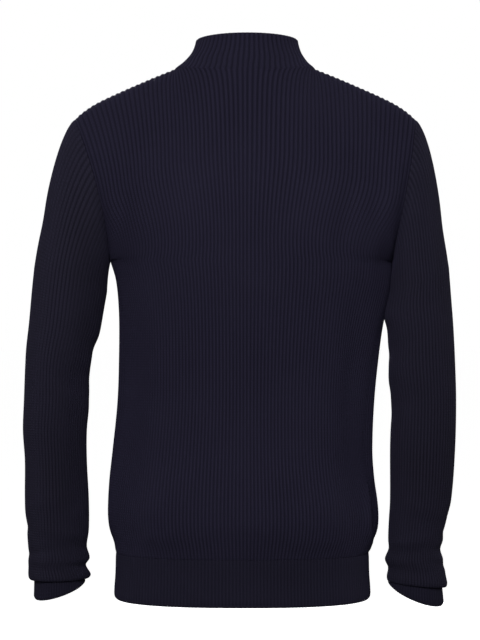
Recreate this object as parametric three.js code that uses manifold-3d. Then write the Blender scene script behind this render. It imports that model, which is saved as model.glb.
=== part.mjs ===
// A rib-knit quarter zip sweater, filled out as it is when worn, with nobody in it.
// Millimetres. +Z is up, the front faces -Y, the wearer's left is +X.
// The origin is in the middle of the shoulders, at the height of the back neck seam.

import * as THREE from 'three';
import { mergeVertices } from 'three/addons/utils/BufferGeometryUtils.js';
import Module from 'manifold-3d';

const wasm = await Module();
wasm.setup();

// Cloth
const WALL = 2.6;
const RIB = 1.3;
const BAND = { wall: 2.9, rib: 1 };
const STAND = { wall: 3, rib: 1.1 };
const SEAM = 0.3;
const FINE = 4;

// Heights of the main seams
const HEM_EDGE = -686;
const HEM_SEAM = -626;
const ARMPIT = -246;
const SHOULDER_TIP = -58;

// Zip
const SLOT = 6.5;
const CHAIN = 2.7;
const TAPE = 1.1;
const CHAIN_THICK = 2.4;
const ZIP_ROWS_UP = 2;

const RIGHT_ANGLE = Math.PI / 2;
const { lerp, clamp, smoothstep } = THREE.MathUtils;
const point = (x, y, z) => new THREE.Vector3(x, y, z);
const range = (from, to) => Array.from({ length: to - from + 1 }, (_, n) => from + n);
const sideOf = (hand) => (hand === 'left' ? 1 : -1);

function table(columns, rows) {
  const names = columns.split(' ');
  return rows.map((row) => Object.fromEntries(row.map((value, n) => [names[n], value])));
}

// A smooth curve through a table's rows, for every column at once
function follow(rows) {
  const names = Object.keys(rows[0]);
  const key = names[0];
  const slope = (n, name) => {
    const before = rows[Math.max(n - 1, 0)];
    const after = rows[Math.min(n + 1, rows.length - 1)];
    return (after[name] - before[name]) / (after[key] - before[key]);
  };
  return (value) => {
    let n = 0;
    while (n < rows.length - 2 && value > rows[n + 1][key]) n += 1;
    const [low, high] = [rows[n], rows[n + 1]];
    const span = high[key] - low[key];
    const t = clamp((value - low[key]) / span, 0, 1);
    const [t2, t3] = [t * t, t * t * t];
    const found = {};
    for (const name of names) {
      found[name] = low[name] * (2 * t3 - 3 * t2 + 1) + high[name] * (3 * t2 - 2 * t3)
        + span * (slope(n, name) * (t3 - 2 * t2 + t) + slope(n + 1, name) * (t3 - t2));
    }
    return found;
  };
}

// Outline of the body from the hem band's seam up to the armpit:
// half widths to the wearer's left and right, depths to the back and front.
const BODY = follow(table('height left right back front', [
  [-626, 169, 162, 104, 112],
  [-612, 171.5, 168, 108, 118],
  [-597, 177, 174, 114, 126],
  [-580, 179.5, 175.5, 117, 131],
  [-558, 179.5, 174, 116, 131],
  [-530, 178, 170, 111, 127],
  [-493, 174, 167.5, 104, 122],
  [-427, 167.5, 170, 99, 118],
  [-361, 165.5, 176.5, 101, 120],
  [-309, 165.5, 179.5, 106, 124],
  [-270, 169, 180, 111, 127],
  [-246, 176, 180, 113, 128],
]));

// Centre lines above the armpit; rise goes from 0 at the armpit to 1 at the neck
const CENTRE = {
  back: follow(table('rise height depth', [
    [0, -246, 113],
    [0.25, -190, 113],
    [0.5, -130, 107],
    [0.75, -63, 90],
    [1, 0, 66],
  ])),
  front: follow(table('rise height depth', [
    [0, -246, -128],
    [0.3, -193, -125],
    [0.6, -133, -113],
    [0.85, -82, -95],
    [1, -52, -82],
  ])),
};

const ARMHOLE = {
  left: { bottom: 176, tip: 222, inset: 9 },
  right: { bottom: 180, tip: 222, inset: -6 },
  depth: 62,
  y: -4,
};

// Columns of half a panel, and how many of them end at the neck
const HALF_COLUMNS = 38;
const NECK_COLUMNS = 18;
const CENTRE_COLUMNS = FINE / 2;

// Collar rings from the neck seam up: half width, middle, depths to the back and front,
// and the ring's height at its sides, back and front
const COLLAR = table('rise side y back front sideHeight backHeight frontHeight', [
  [0, 92, -5, 71, 77, 7, 0, -52],
  [0.18, 80.5, -8, 63.5, 72, 17, 11, -39],
  [0.45, 71.5, -13, 56.5, 67, 27, 25, -19],
  [0.75, 66.5, -19, 55, 64, 37, 39, 4],
  [1, 64, -22, 57, 62, 44, 50, 23],
]);

// Sleeves from the cuff's seam up to just under the armpit: each ring's centre,
// half width across, half depth, and how much higher its outer side is.
const SLEEVE_COLUMNS = 'along x y height width depth tilt';
const SLEEVE = {
  left: table(SLEEVE_COLUMNS, [
    [0, 243, -44, -655, 33, 34, -3],
    [5, 243.3, -44, -659, 37, 38, -3],
    [11, 243.2, -44, -654.5, 40, 41, -3],
    [22, 246, -43, -643, 37.6, 39, 0],
    [31, 243.5, -42, -634, 40, 42, 0],
    [46, 245.6, -40, -618, 38.4, 41, 0],
    [67, 245, -37, -597, 40.6, 43, 0],
    [106, 246.3, -31, -558, 41.9, 45, 0],
    [158, 247.6, -22, -506, 40.6, 46, 0],
    [198, 248.9, -15, -466, 41.9, 49, 0],
    [237, 246.3, -8, -427, 43.2, 51, 0],
    [276, 246.3, -3, -388, 41.9, 53, 3],
    [300, 243, -1, -364, 43.5, 55, 6],
    [329, 237, 0, -335, 45.8, 58, 9],
    [368, 231.9, -1, -296, 47.2, 61, 12],
    [396, 228.5, -2, -270, 47.6, 63, 16],
  ]),
  right: table(SLEEVE_COLUMNS, [
    [0, 224, -46, -664, 34, 34, -4],
    [5, 225, -46, -667.5, 38, 38, -4],
    [12, 225.3, -46, -662, 39.6, 41, -4],
    [26, 224.3, -45, -648, 37, 39, -2],
    [39, 221.4, -43, -635, 38.2, 41, 0],
    [52, 222, -41, -622, 33.8, 38, 0],
    [64, 223.4, -39, -610, 36, 40, 0],
    [90, 226, -36, -584, 37.5, 42, 0],
    [116, 230, -31, -558, 40, 45, 0],
    [181, 232.5, -20, -493, 42.5, 48, 0],
    [247, 233, -10, -427, 42, 51, 0],
    [300, 231, -3, -374, 42.8, 54, 3],
    [339, 227.9, 0, -335, 45.6, 57, 8],
    [374, 227, -1, -300, 46.6, 60, 12],
    [404, 227.3, -2, -270, 46.7, 63, 16],
  ]),
};

// Cuffs from the open edge up to the seam under the sleeve's last bulge
const CUFF_COLUMNS = 'along x y height width depth tilt';
const CUFF = {
  left: table(CUFF_COLUMNS, [
    [0, 243.3, -45, -677, 34.4, 36.2, -9],
    [0.3, 243.2, -45, -669, 34.2, 36, -7],
    [1, 243, -44, -655, 33, 34, -3],
  ]),
  right: table(CUFF_COLUMNS, [
    [0, 225.5, -47, -681, 35.4, 36.2, -11],
    [0.3, 225, -47, -675, 35, 36, -9],
    [1, 224, -46, -664, 34, 34, -4],
  ]),
};

const HEM = table('rise out', [
  [0, 1.4],
  [0.12, 2.2],
  [0.55, 0.6],
  [1, 0],
]);

// Colour and roughness of what the pieces are made of
const KNIT = { color: 0x15151f, roughness: 0.92, metalness: 0 };
const ZIP_CLOTH = { color: 0x101018, roughness: 0.85, metalness: 0 };
const TEETH = { color: 0x14141c, roughness: 0.45, metalness: 0 };
const METAL = { color: 0x2a2a30, roughness: 0.4, metalness: 0.9 };

// Evenly spaced places along a curve, by length; the curve gives {at, out}
function evenly(curve, samples = 60) {
  const marks = [];
  let length = 0;
  let last = null;
  for (let n = 0; n <= samples; n += 1) {
    const mark = curve(n / samples);
    if (last) length += mark.at.distanceTo(last.at);
    marks.push({ ...mark, length });
    last = mark;
  }
  const find = (share) => {
    const wanted = clamp(share, 0, 1) * length;
    let n = 1;
    while (n < samples && marks[n].length < wanted) n += 1;
    const [low, high] = [marks[n - 1], marks[n]];
    const t = clamp((wanted - low.length) / (high.length - low.length), 0, 1);
    return {
      at: low.at.clone().lerp(high.at, t),
      out: low.out.clone().lerp(high.out, t).normalize(),
    };
  };
  return { find, length };
}

// The armhole's seam: angle 0 at the armpit, then back, shoulder tip and front
function armhole(hand, angle) {
  const { bottom, tip, inset } = ARMHOLE[hand];
  const rise = (1 - Math.cos(angle)) / 2;
  const across = Math.sin(angle);
  const out = point(0, across * 1.5, -Math.cos(angle)).normalize();
  return {
    at: point(
      sideOf(hand) * (lerp(bottom, tip, rise) - inset * across * across),
      ARMHOLE.y * rise + ARMHOLE.depth * across,
      lerp(ARMPIT, SHOULDER_TIP, rise),
    ),
    out,
  };
}

// A ring round the neck; angle 0 is the middle of the back, a right angle is the side
function neckRing(row, hand, angle) {
  const [s, c] = [Math.sin(angle), Math.cos(angle)];
  const end = c > 0 ? row.backHeight : row.frontHeight;
  const fall = c > 0 ? c * c : Math.abs(c) ** 1.5;
  return point(
    sideOf(hand) * row.side * Math.abs(s) ** 0.92 * Math.sign(s),
    row.y + (c > 0 ? row.back : row.front) * Math.sign(c) * Math.abs(c) ** 0.92,
    lerp(row.sideHeight, end, fall),
  );
}

function neckSeam(hand, angle) {
  const [s, c] = [Math.sin(angle), Math.cos(angle)];
  return {
    at: neckRing(COLLAR[0], hand, angle),
    out: point(sideOf(hand) * s * 0.6, c * 0.85, 0.62).normalize(),
  };
}

// How far along a row each column lies: the first ones keep to the zip's slot
function columnShare(length, column, last) {
  const slot = SLOT / length;
  if (column < CENTRE_COLUMNS) return slot * column / CENTRE_COLUMNS;
  return lerp(slot, 1, (column - CENTRE_COLUMNS) / (last - CENTRE_COLUMNS));
}

// The top edge of the back or front: half the neck, then the shoulder seam
function topEdge(face, hand) {
  const tip = armhole(hand, Math.PI).at;
  const corner = neckSeam(hand, RIGHT_ANGLE);
  const neck = evenly((t) => {
    const turn = t * RIGHT_ANGLE;
    return neckSeam(hand, face === 'back' ? turn : Math.PI - turn);
  });
  const shoulder = evenly((t) => {
    const at = corner.at.clone().lerp(tip, t);
    at.z += 5 * Math.sin(Math.PI * t) * (1 - t);
    const out = corner.out.clone().lerp(point(0, 0, 1), smoothstep(t, 0, 0.2)).normalize();
    return { at, out };
  });
  return range(0, HALF_COLUMNS).map((column) => {
    if (column >= NECK_COLUMNS) {
      return shoulder.find((column - NECK_COLUMNS) / (HALF_COLUMNS - NECK_COLUMNS));
    }
    const spot = neck.find(columnShare(neck.length, column, NECK_COLUMNS));
    if (column <= CENTRE_COLUMNS) spot.at.x = sideOf(hand) * SLOT * column / CENTRE_COLUMNS;
    return spot;
  });
}

// The line that ends a section: side seam under the armpit, armhole above it
function sideEdge(face, hand, level) {
  const sign = face === 'back' ? 1 : -1;
  if (level > 1) {
    const { at, out } = armhole(hand, (level - 1) * Math.PI);
    const y = ARMHOLE.y * ((1 - Math.cos((level - 1) * Math.PI)) / 2);
    at.y = y + sign * (at.y - y);
    out.y *= sign;
    return { at, out };
  }
  const height = lerp(HEM_SEAM, ARMPIT, level);
  const turn = smoothstep(level, 0.95, 1);
  return {
    at: point(sideOf(hand) * BODY(height)[hand], 0, height),
    out: point(sideOf(hand), 0, 0).lerp(point(0, 0, -1), turn).normalize(),
  };
}

function centreLine(face, level) {
  if (level > 1) {
    const rise = level - 1;
    const { height, depth } = CENTRE[face](lerp(rise, Math.sin(rise * RIGHT_ANGLE), 0.8));
    return point(0, depth, height);
  }
  const height = lerp(HEM_SEAM, ARMPIT, level);
  const row = BODY(height);
  return point(0, face === 'back' ? row.back : -row.front, height);
}

// One section of the back or front, from the centre line to its edge
function section(face, hand, level) {
  const edge = sideEdge(face, hand, level).at;
  const middle = centreLine(face, level);
  const bend = lerp(RIGHT_ANGLE, 0.9, smoothstep(level, 1, 1.8));
  const fullness = 0.86;
  const [endSine, endCosine] = [Math.sin(bend), Math.max(Math.cos(bend), 0) ** fullness];
  return evenly((t) => {
    const across = (Math.sin(t * bend) / endSine) ** fullness;
    const forward = (Math.max(Math.cos(t * bend), 0) ** fullness - endCosine) / (1 - endCosine);
    const at = point(
      edge.x * across,
      lerp(edge.y, middle.y, forward),
      lerp(middle.z, edge.z, across * across),
    );
    return { at, out: point(0, 0, 1) };
  });
}

// Soft folds of the body: where each lies across and up, its size, height and slant
const FOLDS = table('face across level wide tall lift slant', [
  [1, 0.62, 0.2, 0.16, 0.22, 3.5, 0.25],
  [1, -0.66, 0.16, 0.13, 0.2, 4, -0.2],
  [1, 0.2, 0.12, 0.2, 0.12, -3, 0],
  [1, -0.75, 0.55, 0.14, 0.25, -3, 0.3],
  [1, 0.72, 0.75, 0.12, 0.25, -3.5, -0.3],
  [1, 0.82, 1.35, 0.1, 0.3, -3, 0.1],
  [1, -0.84, 1.3, 0.1, 0.35, -3.5, -0.1],
  [-1, 0.55, 0.18, 0.18, 0.2, 4, 0.3],
  [-1, -0.45, 0.14, 0.16, 0.18, 3, -0.2],
  [-1, -0.78, 0.7, 0.14, 0.3, -4, 0.35],
  [-1, 0.76, 0.72, 0.13, 0.28, -4, -0.3],
  [-1, 0.8, 1.3, 0.1, 0.3, -4, 0.1],
  [-1, -0.8, 1.35, 0.1, 0.3, -3.5, -0.1],
]);

function foldLift(face, across, level) {
  const sign = face === 'back' ? 1 : -1;
  let lift = 0;
  for (const fold of FOLDS) {
    if (fold.face !== sign) continue;
    const up = (level - fold.level) / fold.tall;
    const side = (across - fold.across - fold.slant * (level - fold.level)) / fold.wide;
    lift += fold.lift * Math.exp(-up * up - side * side);
  }
  return lift * smoothstep(1 - Math.abs(across), 0, 0.2) * smoothstep(level, 0, 0.15);
}

// The same moves, with the corner between the neck and the shoulder rounded off
function rounded(moves, times = 40) {
  let soft = moves;
  for (let n = 0; n < times; n += 1) {
    soft = soft.map((move, j) => (j === 0 || j === soft.length - 1 ? move
      : move.clone().multiplyScalar(0.5).addScaledVector(soft[j - 1], 0.25)
        .addScaledVector(soft[j + 1], 0.25)));
  }
  return soft;
}

// Half of one row of the back or front, from its centre line to its edge
function halfRow(face, hand, level) {
  const curve = section(face, hand, level);
  const last = section(face, hand, 2);
  const rise = clamp(level - 1, 0, 1);
  const pull = rise ** 2.6;
  const tops = topEdge(face, hand);
  const moves = tops.map((top, column) => top.at.clone()
    .sub(last.find(columnShare(last.length, column, HALF_COLUMNS)).at));
  const soft = rounded(moves);
  return tops.map((top, column) => {
    const share = columnShare(curve.length, column, HALF_COLUMNS);
    const { at } = curve.find(share);
    at.addScaledVector(soft[column], pull);
    at.addScaledVector(moves[column].clone().sub(soft[column]), rise ** 9);
    if (column <= CENTRE_COLUMNS) at.x = top.at.x;
    const lift = foldLift(face, sideOf(hand) * share, level) * (1 - pull);
    return { at, top: top.out, column, hand, level, lift, share };
  });
}

// A row of a panel or of the collar's foot, from the wearer's right to the left
function wholeRow(half) {
  return [...half('right').slice(1).reverse(), ...half('left')];
}

function crossNormal(grid, i, j, wraps) {
  const rows = grid.length - 1;
  const columns = grid[0].length;
  const before = wraps ? (j + columns - 1) % columns : Math.max(j - 1, 0);
  const after = wraps ? (j + 1) % columns : Math.min(j + 1, columns - 1);
  const along = grid[i][after].at.clone().sub(grid[i][before].at);
  const up = grid[Math.min(i + 1, rows)][j].at.clone().sub(grid[Math.max(i - 1, 0)][j].at);
  return along.cross(up).normalize();
}

// One closed wall: ribbed outside, plain inside with one column for every few outside.
// The grid runs anticlockwise seen from above, and the open cells are left out. A fine top
// has as many columns on the inside's last row as outside.
function wall(grid, options) {
  const { wraps = false, fineTop = false, thick = WALL, rib = RIB, step = FINE } = options;
  const open = options.open ?? (() => false);
  const rows = grid.length - 1;
  const columns = wraps ? grid[0].length : grid[0].length - 1;
  const cells = columns / step;
  const positions = [];
  const faces = [];
  const index = new Map();
  const vertex = (layer, i, column) => {
    const j = wraps ? column % columns : column;
    const name = `${layer} ${i} ${j}`;
    if (!index.has(name)) {
      const { at, out } = grid[i][j];
      const atSeam = i === 0 || i === rows || (!wraps && (j === 0 || j === columns));
      const groove = rib * (atSeam ? 0.35 : 1);
      const depth = layer === 'inner' ? thick + rib : (j % 2) * groove;
      positions.push(...at.clone().addScaledVector(out, -depth).toArray());
      index.set(name, positions.length / 3 - 1);
    }
    return index.get(name);
  };
  const solid = (i, cell) => {
    const c = wraps ? (cell + cells) % cells : cell;
    return i >= 0 && i < rows && c >= 0 && c < cells && !open(i, c);
  };
  // The strip between the fine outer edge and the coarse inner one
  const rim = (i, cell, up) => {
    const start = cell * step;
    const inner = [vertex('inner', i, start), vertex('inner', i, start + step)];
    const add = (a, b, c) => faces.push(...(up ? [a, b, c] : [a, c, b]));
    if (up && fineTop) {
      for (let j = start; j < start + step; j += 1) {
        add(vertex('outer', i, j), vertex('outer', i, j + 1), vertex('inner', i, j));
        add(vertex('outer', i, j + 1), vertex('inner', i, j + 1), vertex('inner', i, j));
      }
      return;
    }
    for (let n = 0; n < step; n += 1) {
      const [a, b] = [vertex('outer', i, start + n), vertex('outer', i, start + n + 1)];
      add(a, b, inner[n < step / 2 ? 0 : 1]);
      if (n === step / 2 - 1) add(b, inner[1], inner[0]);
    }
  };
  const end = (i, column, right) => {
    const [a, b] = [vertex('outer', i, column), vertex('outer', i + 1, column)];
    const [c, d] = [vertex('inner', i, column), vertex('inner', i + 1, column)];
    faces.push(...(right ? [a, c, b, b, c, d] : [a, b, c, b, d, c]));
  };
  for (let i = 0; i < rows; i += 1) {
    for (let cell = 0; cell < cells; cell += 1) {
      if (!solid(i, cell)) continue;
      const start = cell * step;
      for (let j = start; j < start + step; j += 1) {
        const [a, b] = [vertex('outer', i, j), vertex('outer', i, j + 1)];
        const [c, d] = [vertex('outer', i + 1, j), vertex('outer', i + 1, j + 1)];
        faces.push(a, b, d, a, d, c);
      }
      const [a, b] = [vertex('inner', i, start), vertex('inner', i, start + step)];
      const [c, d] = [vertex('inner', i + 1, start), vertex('inner', i + 1, start + step)];
      if (fineTop && i === rows - 1) {
        const middle = start + step / 2;
        for (let j = start; j < start + step; j += 1) {
          faces.push(j < middle ? a : b, vertex('inner', i + 1, j), vertex('inner', i + 1, j + 1));
        }
        faces.push(a, vertex('inner', i + 1, middle), b);
      } else {
        faces.push(a, d, b, a, c, d);
      }
      if (!solid(i - 1, cell)) rim(i, cell, false);
      if (!solid(i + 1, cell)) rim(i + 1, cell, true);
      if (!solid(i, cell - 1)) end(i, start, false);
      if (!solid(i, cell + 1)) end(i, start + step, true);
    }
  }
  const geometry = new THREE.BufferGeometry();
  geometry.setAttribute('position', new THREE.Float32BufferAttribute(positions, 3));
  geometry.setIndex(faces);
  geometry.computeVertexNormals();
  return geometry;
}

function named(name, geometry, look) {
  const mesh = new THREE.Mesh(geometry, new THREE.MeshStandardMaterial(look));
  mesh.name = name;
  return mesh;
}

const LOW_LEVELS = [0, 0.035, 0.08, 0.13, 0.2, 0.3, 0.45, 0.62, 0.8, 0.92, 1];
const ARMHOLE_ROWS = 10;
const BODY_LEVELS = [...LOW_LEVELS, ...range(1, ARMHOLE_ROWS).map((n) => 1 + n / ARMHOLE_ROWS)];
const ZIP_ROW = LOW_LEVELS.length + ZIP_ROWS_UP;
const CENTRE_CELL = (HALF_COLUMNS - CENTRE_COLUMNS) / FINE;

// The back and the front: the front has a centre strip of one cell, open for the zip
function panel(face) {
  const sign = face === 'back' ? 1 : -1;
  const grid = BODY_LEVELS.map((level) => wholeRow((hand) => halfRow(face, hand, level)));
  grid.forEach((row, i) => row.forEach((spot, j) => {
    spot.normal = crossNormal(grid, i, j, false).multiplyScalar(-sign);
  }));
  const last = grid.length - 1;
  grid.forEach((row, i) => row.forEach((spot) => {
    const { share, hand, level, normal, column } = spot;
    const atEdge = column === HALF_COLUMNS;
    const side = sideEdge(face, hand, level).out;
    const nearTop = i === last ? 1 : 0.4 * smoothstep(i, last - 2, last);
    const foot = i === 0 ? point(normal.x, normal.y, 0).normalize() : normal;
    spot.out = foot.clone().lerp(side, smoothstep(share, 0.9, 1)).lerp(spot.top, nearTop).normalize();
    if (atEdge && i < last) spot.out.copy(side);
    spot.at.addScaledVector(normal, spot.lift);
    if (i === 0) spot.at.z += SEAM / 2;
    if (i === last || (atEdge && level <= 1)) spot.at.y += sign * SEAM / 2;
    if (atEdge && level > 1) spot.at.x -= sideOf(hand) * SEAM / 2;
  }));
  const ordered = face === 'back' ? grid.map((row) => [...row].reverse()) : grid;
  const open = (i, cell) => face === 'front' && i >= ZIP_ROW && cell === CENTRE_CELL;
  return wall(ordered, { open });
}

// Rings of a sleeve or a cuff; angle 0 is the side towards the body
function armRing(row, hand, angle) {
  const [s, c] = [Math.sin(angle), Math.cos(angle)];
  const side = sideOf(hand);
  return {
    at: point(side * (row.x - row.width * c), row.y + row.depth * s, row.height - row.tilt * c),
    out: point(-side * c / row.width, s / row.depth, 0).normalize(),
  };
}

// The sleeve's cap runs from the ring under the armpit to the armhole's seam
function capPlace(hand, angle, share) {
  const rows = SLEEVE[hand];
  const start = armRing(rows[rows.length - 1], hand, angle);
  const finish = armhole(hand, angle);
  finish.at.x += sideOf(hand) * SEAM;
  const rise = (1 - Math.cos(angle)) / 2;
  const reach = start.at.distanceTo(finish.at);
  const leave = point(-0.05 * sideOf(hand), 0, 1).multiplyScalar(reach * 1.15);
  const arrive = point(-sideOf(hand) * lerp(0.25, 1, rise), 0, lerp(1, 0.2, rise));
  arrive.normalize().multiplyScalar(reach * lerp(0.9, 0.5, rise));
  const [t, t2, t3] = [share, share ** 2, share ** 3];
  const at = start.at.clone().multiplyScalar(2 * t3 - 3 * t2 + 1)
    .addScaledVector(finish.at, 3 * t2 - 2 * t3)
    .addScaledVector(leave, t3 - 2 * t2 + t)
    .addScaledVector(arrive, t3 - t2);
  return { at, out: start.out.clone().lerp(finish.out, smoothstep(share, 0, 1)).normalize() };
}

function ringAngles(count) {
  return range(0, count - 1).map((n) => n / count * 2 * Math.PI);
}

function orderFor(hand, row) {
  return hand === 'left' ? [...row].reverse() : row;
}

const CAP_SHARES = [0.12, 0.26, 0.42, 0.58, 0.74, 0.88, 1];
const SLEEVE_RIBS = 20;
const CUFF_RIBS = 20;

function sleeve(hand) {
  const angles = ringAngles(SLEEVE_RIBS * 2);
  const lower = SLEEVE[hand].map((row, n) => angles.map((angle) => {
    const ring = armRing(row, hand, angle);
    if (n === 0) ring.at.z += SEAM;
    return ring;
  }));
  const cap = CAP_SHARES.map((share) => angles.map((angle) => capPlace(hand, angle, share)));
  const grid = [...lower, ...cap].map((row) => orderFor(hand, row));
  return wall(grid, { wraps: true, fineTop: true });
}

function cuff(hand) {
  const angles = ringAngles(CUFF_RIBS * 2);
  const smooth = follow(CUFF[hand]);
  const grid = [0, 0.12, 0.3, 0.65, 1].map((along) => {
    const row = smooth(along);
    return orderFor(hand, angles.map((angle) => armRing(row, hand, angle)));
  });
  return wall(grid, { wraps: true, rib: BAND.rib });
}

const HEM_RISES = [0, 0.12, 0.45, 1];
const HEM_QUARTER = 36;

// The band round the hem: a tube that continues the body's lowest section
function hemBand() {
  const shares = range(0, HEM_QUARTER - 1).map((n) => n / HEM_QUARTER);
  const quarter = (face, hand) => section(face, hand, 0);
  const around = [
    ...shares.map((share) => quarter('front', 'left').find(share).at),
    ...shares.map((share) => quarter('back', 'left').find(1 - share).at),
    ...shares.map((share) => quarter('back', 'right').find(share).at),
    ...shares.map((share) => quarter('front', 'right').find(1 - share).at),
  ];
  const profile = follow(HEM);
  const upright = [HEM_EDGE, HEM_SEAM].map((z) => around.map(({ x, y }) => ({ at: point(x, y, z) })));
  const grid = HEM_RISES.map((rise) => around.map(({ x, y }, column) => {
    const { x: nx, y: ny } = crossNormal(upright, 0, column, true);
    const out = point(nx, ny, 0).normalize();
    const at = point(x, y, lerp(HEM_EDGE, HEM_SEAM - SEAM / 2, rise));
    return { at: at.addScaledVector(out, profile(rise).out), out };
  }));
  return wall(grid, { wraps: true, rib: BAND.rib, thick: BAND.wall });
}

// The stand collar: open in front for the zip, from its right edge round to its left
function collarCurve(rise, hand) {
  const row = follow(COLLAR)(rise);
  return evenly((t) => {
    const angle = t * Math.PI;
    const seam = neckSeam(hand, angle).out;
    const level = point(sideOf(hand) * Math.sin(angle), Math.cos(angle), 0);
    return { at: neckRing(row, hand, angle), out: level.lerp(seam, (1 - rise) ** 2) };
  }, 90);
}

const COLLAR_RISES = [0, 0.1, 0.24, 0.45, 0.7, 0.93, 1];
const COLLAR_EDGE_ROLL = 1.1;
const COLLAR_SEAM = 0.4;

// The collar's foot follows the panels' own neck columns, and its rings leave it smoothly
function collar() {
  const foot = (hand) => [
    ...topEdge('back', hand).slice(0, NECK_COLUMNS + 1),
    ...topEdge('front', hand).slice(CENTRE_COLUMNS, NECK_COLUMNS).reverse(),
  ];
  const half = (rise) => (hand) => {
    const curve = collarCurve(rise, hand);
    const base = collarCurve(0, hand);
    const seats = foot(hand);
    const last = seats.length - 1;
    return seats.map((seat, column) => {
      const place = (ring) => ring.find(column / last * (1 - SLOT / ring.length));
      const { at, out } = place(curve);
      const seated = (1 - smoothstep(rise, 0, 0.45)) ** 2;
      at.addScaledVector(seat.at.clone().sub(place(base).at), seated);
      if (rise === 0) {
        at.addScaledVector(point(-seat.out.x, -seat.out.y, 1).normalize(), COLLAR_SEAM);
        out.copy(seat.out);
      }
      if (rise === 1) at.addScaledVector(out, -COLLAR_EDGE_ROLL);
      if (column === last) at.x = sideOf(hand) * SLOT;
      return { at, out };
    });
  };
  const grid = COLLAR_RISES.map((rise) => wholeRow(half(rise)).reverse());
  return wall(grid, { rib: STAND.rib, thick: STAND.wall });
}

// The zip's line, up the centre of the front and of the collar
function zipLine() {
  const marks = [];
  for (const level of range(0, 10).map((n) => lerp(BODY_LEVELS[ZIP_ROW], 2, n / 10))) {
    marks.push(centreLine('front', level));
  }
  for (const rise of [0.2, 0.4, 0.6, 0.8, 1]) {
    marks.push(collarCurve(rise, 'left').find(1).at.setX(0));
  }
  return new THREE.CatmullRomCurve3(marks);
}

const ZIP = zipLine();
const ZIP_LENGTH = ZIP.getLength();
const STOP = { width: 5.4, thick: 3, height: 2.2, from: 1.6 };
const ZIP_START = (STOP.from + STOP.height / 2 + SEAM + 0.1) / ZIP_LENGTH;
const SLIDER_FROM_TOP = 9.5;
const SLIDER_AT = 1 - SLIDER_FROM_TOP / ZIP_LENGTH;

function zipFrame(share) {
  const at = ZIP.getPointAt(share);
  const along = ZIP.getTangentAt(share);
  const out = point(0, -along.z, along.y).normalize();
  return { at, along, out };
}

// A flat strip of the zip between two distances from the centre line
function zipStrip(left, right, sunk, thick, from, to, steps) {
  const grid = range(0, steps).map((n) => {
    const { at, out } = zipFrame(lerp(from, to, n / steps));
    return [left, (left + right) / 2, right].map((x) => ({
      at: at.clone().addScaledVector(out, -sunk).setX(x),
      out,
    }));
  });
  return wall(grid, { rib: 0, thick, step: 2 });
}

// How deep the teeth and the tapes lie under the cloth's crests
const CHAIN_SUNK = 0.8;
const TAPE_SUNK = CHAIN_SUNK + (CHAIN_THICK - TAPE) / 2;

function zipTape(hand) {
  const [near, far] = [CHAIN + SEAM, SLOT - SEAM];
  const [left, right] = hand === 'left' ? [near, far] : [-far, -near];
  return zipStrip(left, right, TAPE_SUNK, TAPE, ZIP_START, SLIDER_AT, 12);
}

function asManifold(geometry) {
  geometry.deleteAttribute('normal');
  geometry.deleteAttribute('uv');
  const merged = mergeVertices(geometry, 1e-4);
  return new wasm.Manifold(new wasm.Mesh({
    numProp: 3,
    vertProperties: new Float32Array(merged.attributes.position.array),
    triVerts: new Uint32Array(merged.index.array),
  }));
}

function joined(geometries) {
  const [first, ...others] = geometries.map(asManifold);
  const { vertProperties, triVerts } = others.reduce((sum, next) => sum.add(next), first).getMesh();
  const geometry = new THREE.BufferGeometry();
  geometry.setAttribute('position', new THREE.BufferAttribute(vertProperties, 3));
  geometry.setIndex(new THREE.BufferAttribute(triVerts, 1));
  geometry.computeVertexNormals();
  return geometry;
}

function box(width, depth, height, x, y, z) {
  return new THREE.BoxGeometry(width, depth, height).translate(x, y, z);
}

// The slider's own sizes; in its frame z runs up the zip and -y faces out
const SLIDER = { width: 9, height: 10, plate: 1.3 };
const POST = { width: 4, height: 3.2 };
const CROWN = { width: 2, out: 3.5, leg: 1.2, legsApart: 4.4, roof: 1, roofSunk: 0.3 };
const FUSED = 0.4;
const SLIDER_GAP = CHAIN_THICK + 3 * SEAM;
const FRONT_FACE = -(SLIDER_GAP / 2 + SLIDER.plate);
const PULL_AXIS = { y: FRONT_FACE - 1.55, z: 0.6 };

function sliderSolid() {
  const plateY = (SLIDER_GAP + SLIDER.plate) / 2;
  const postZ = (SLIDER.height - POST.height) / 2;
  const legY = FRONT_FACE - CROWN.out / 2;
  const roofY = FRONT_FACE - CROWN.out + CROWN.roofSunk;
  const plate = (y) => box(SLIDER.width, SLIDER.plate, SLIDER.height, 0, y, 0);
  const leg = (z) => box(CROWN.width, CROWN.out + FUSED, CROWN.leg, 0, legY, z);
  return joined([
    plate(-plateY),
    plate(plateY),
    box(POST.width, SLIDER_GAP + FUSED, POST.height, 0, 0, postZ),
    leg(PULL_AXIS.z + CROWN.legsApart / 2),
    leg(PULL_AXIS.z - CROWN.legsApart / 2),
    box(CROWN.width, CROWN.roof, CROWN.legsApart + CROWN.leg, 0, roofY, PULL_AXIS.z),
  ]);
}

// The pull hangs from a bar under the slider's crown and turns about that bar
const PULL = { width: 7.4, thick: 1.2, window: 3.6, bar: 1.2, length: 27, corner: 1.6, play: 0.5 };

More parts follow.
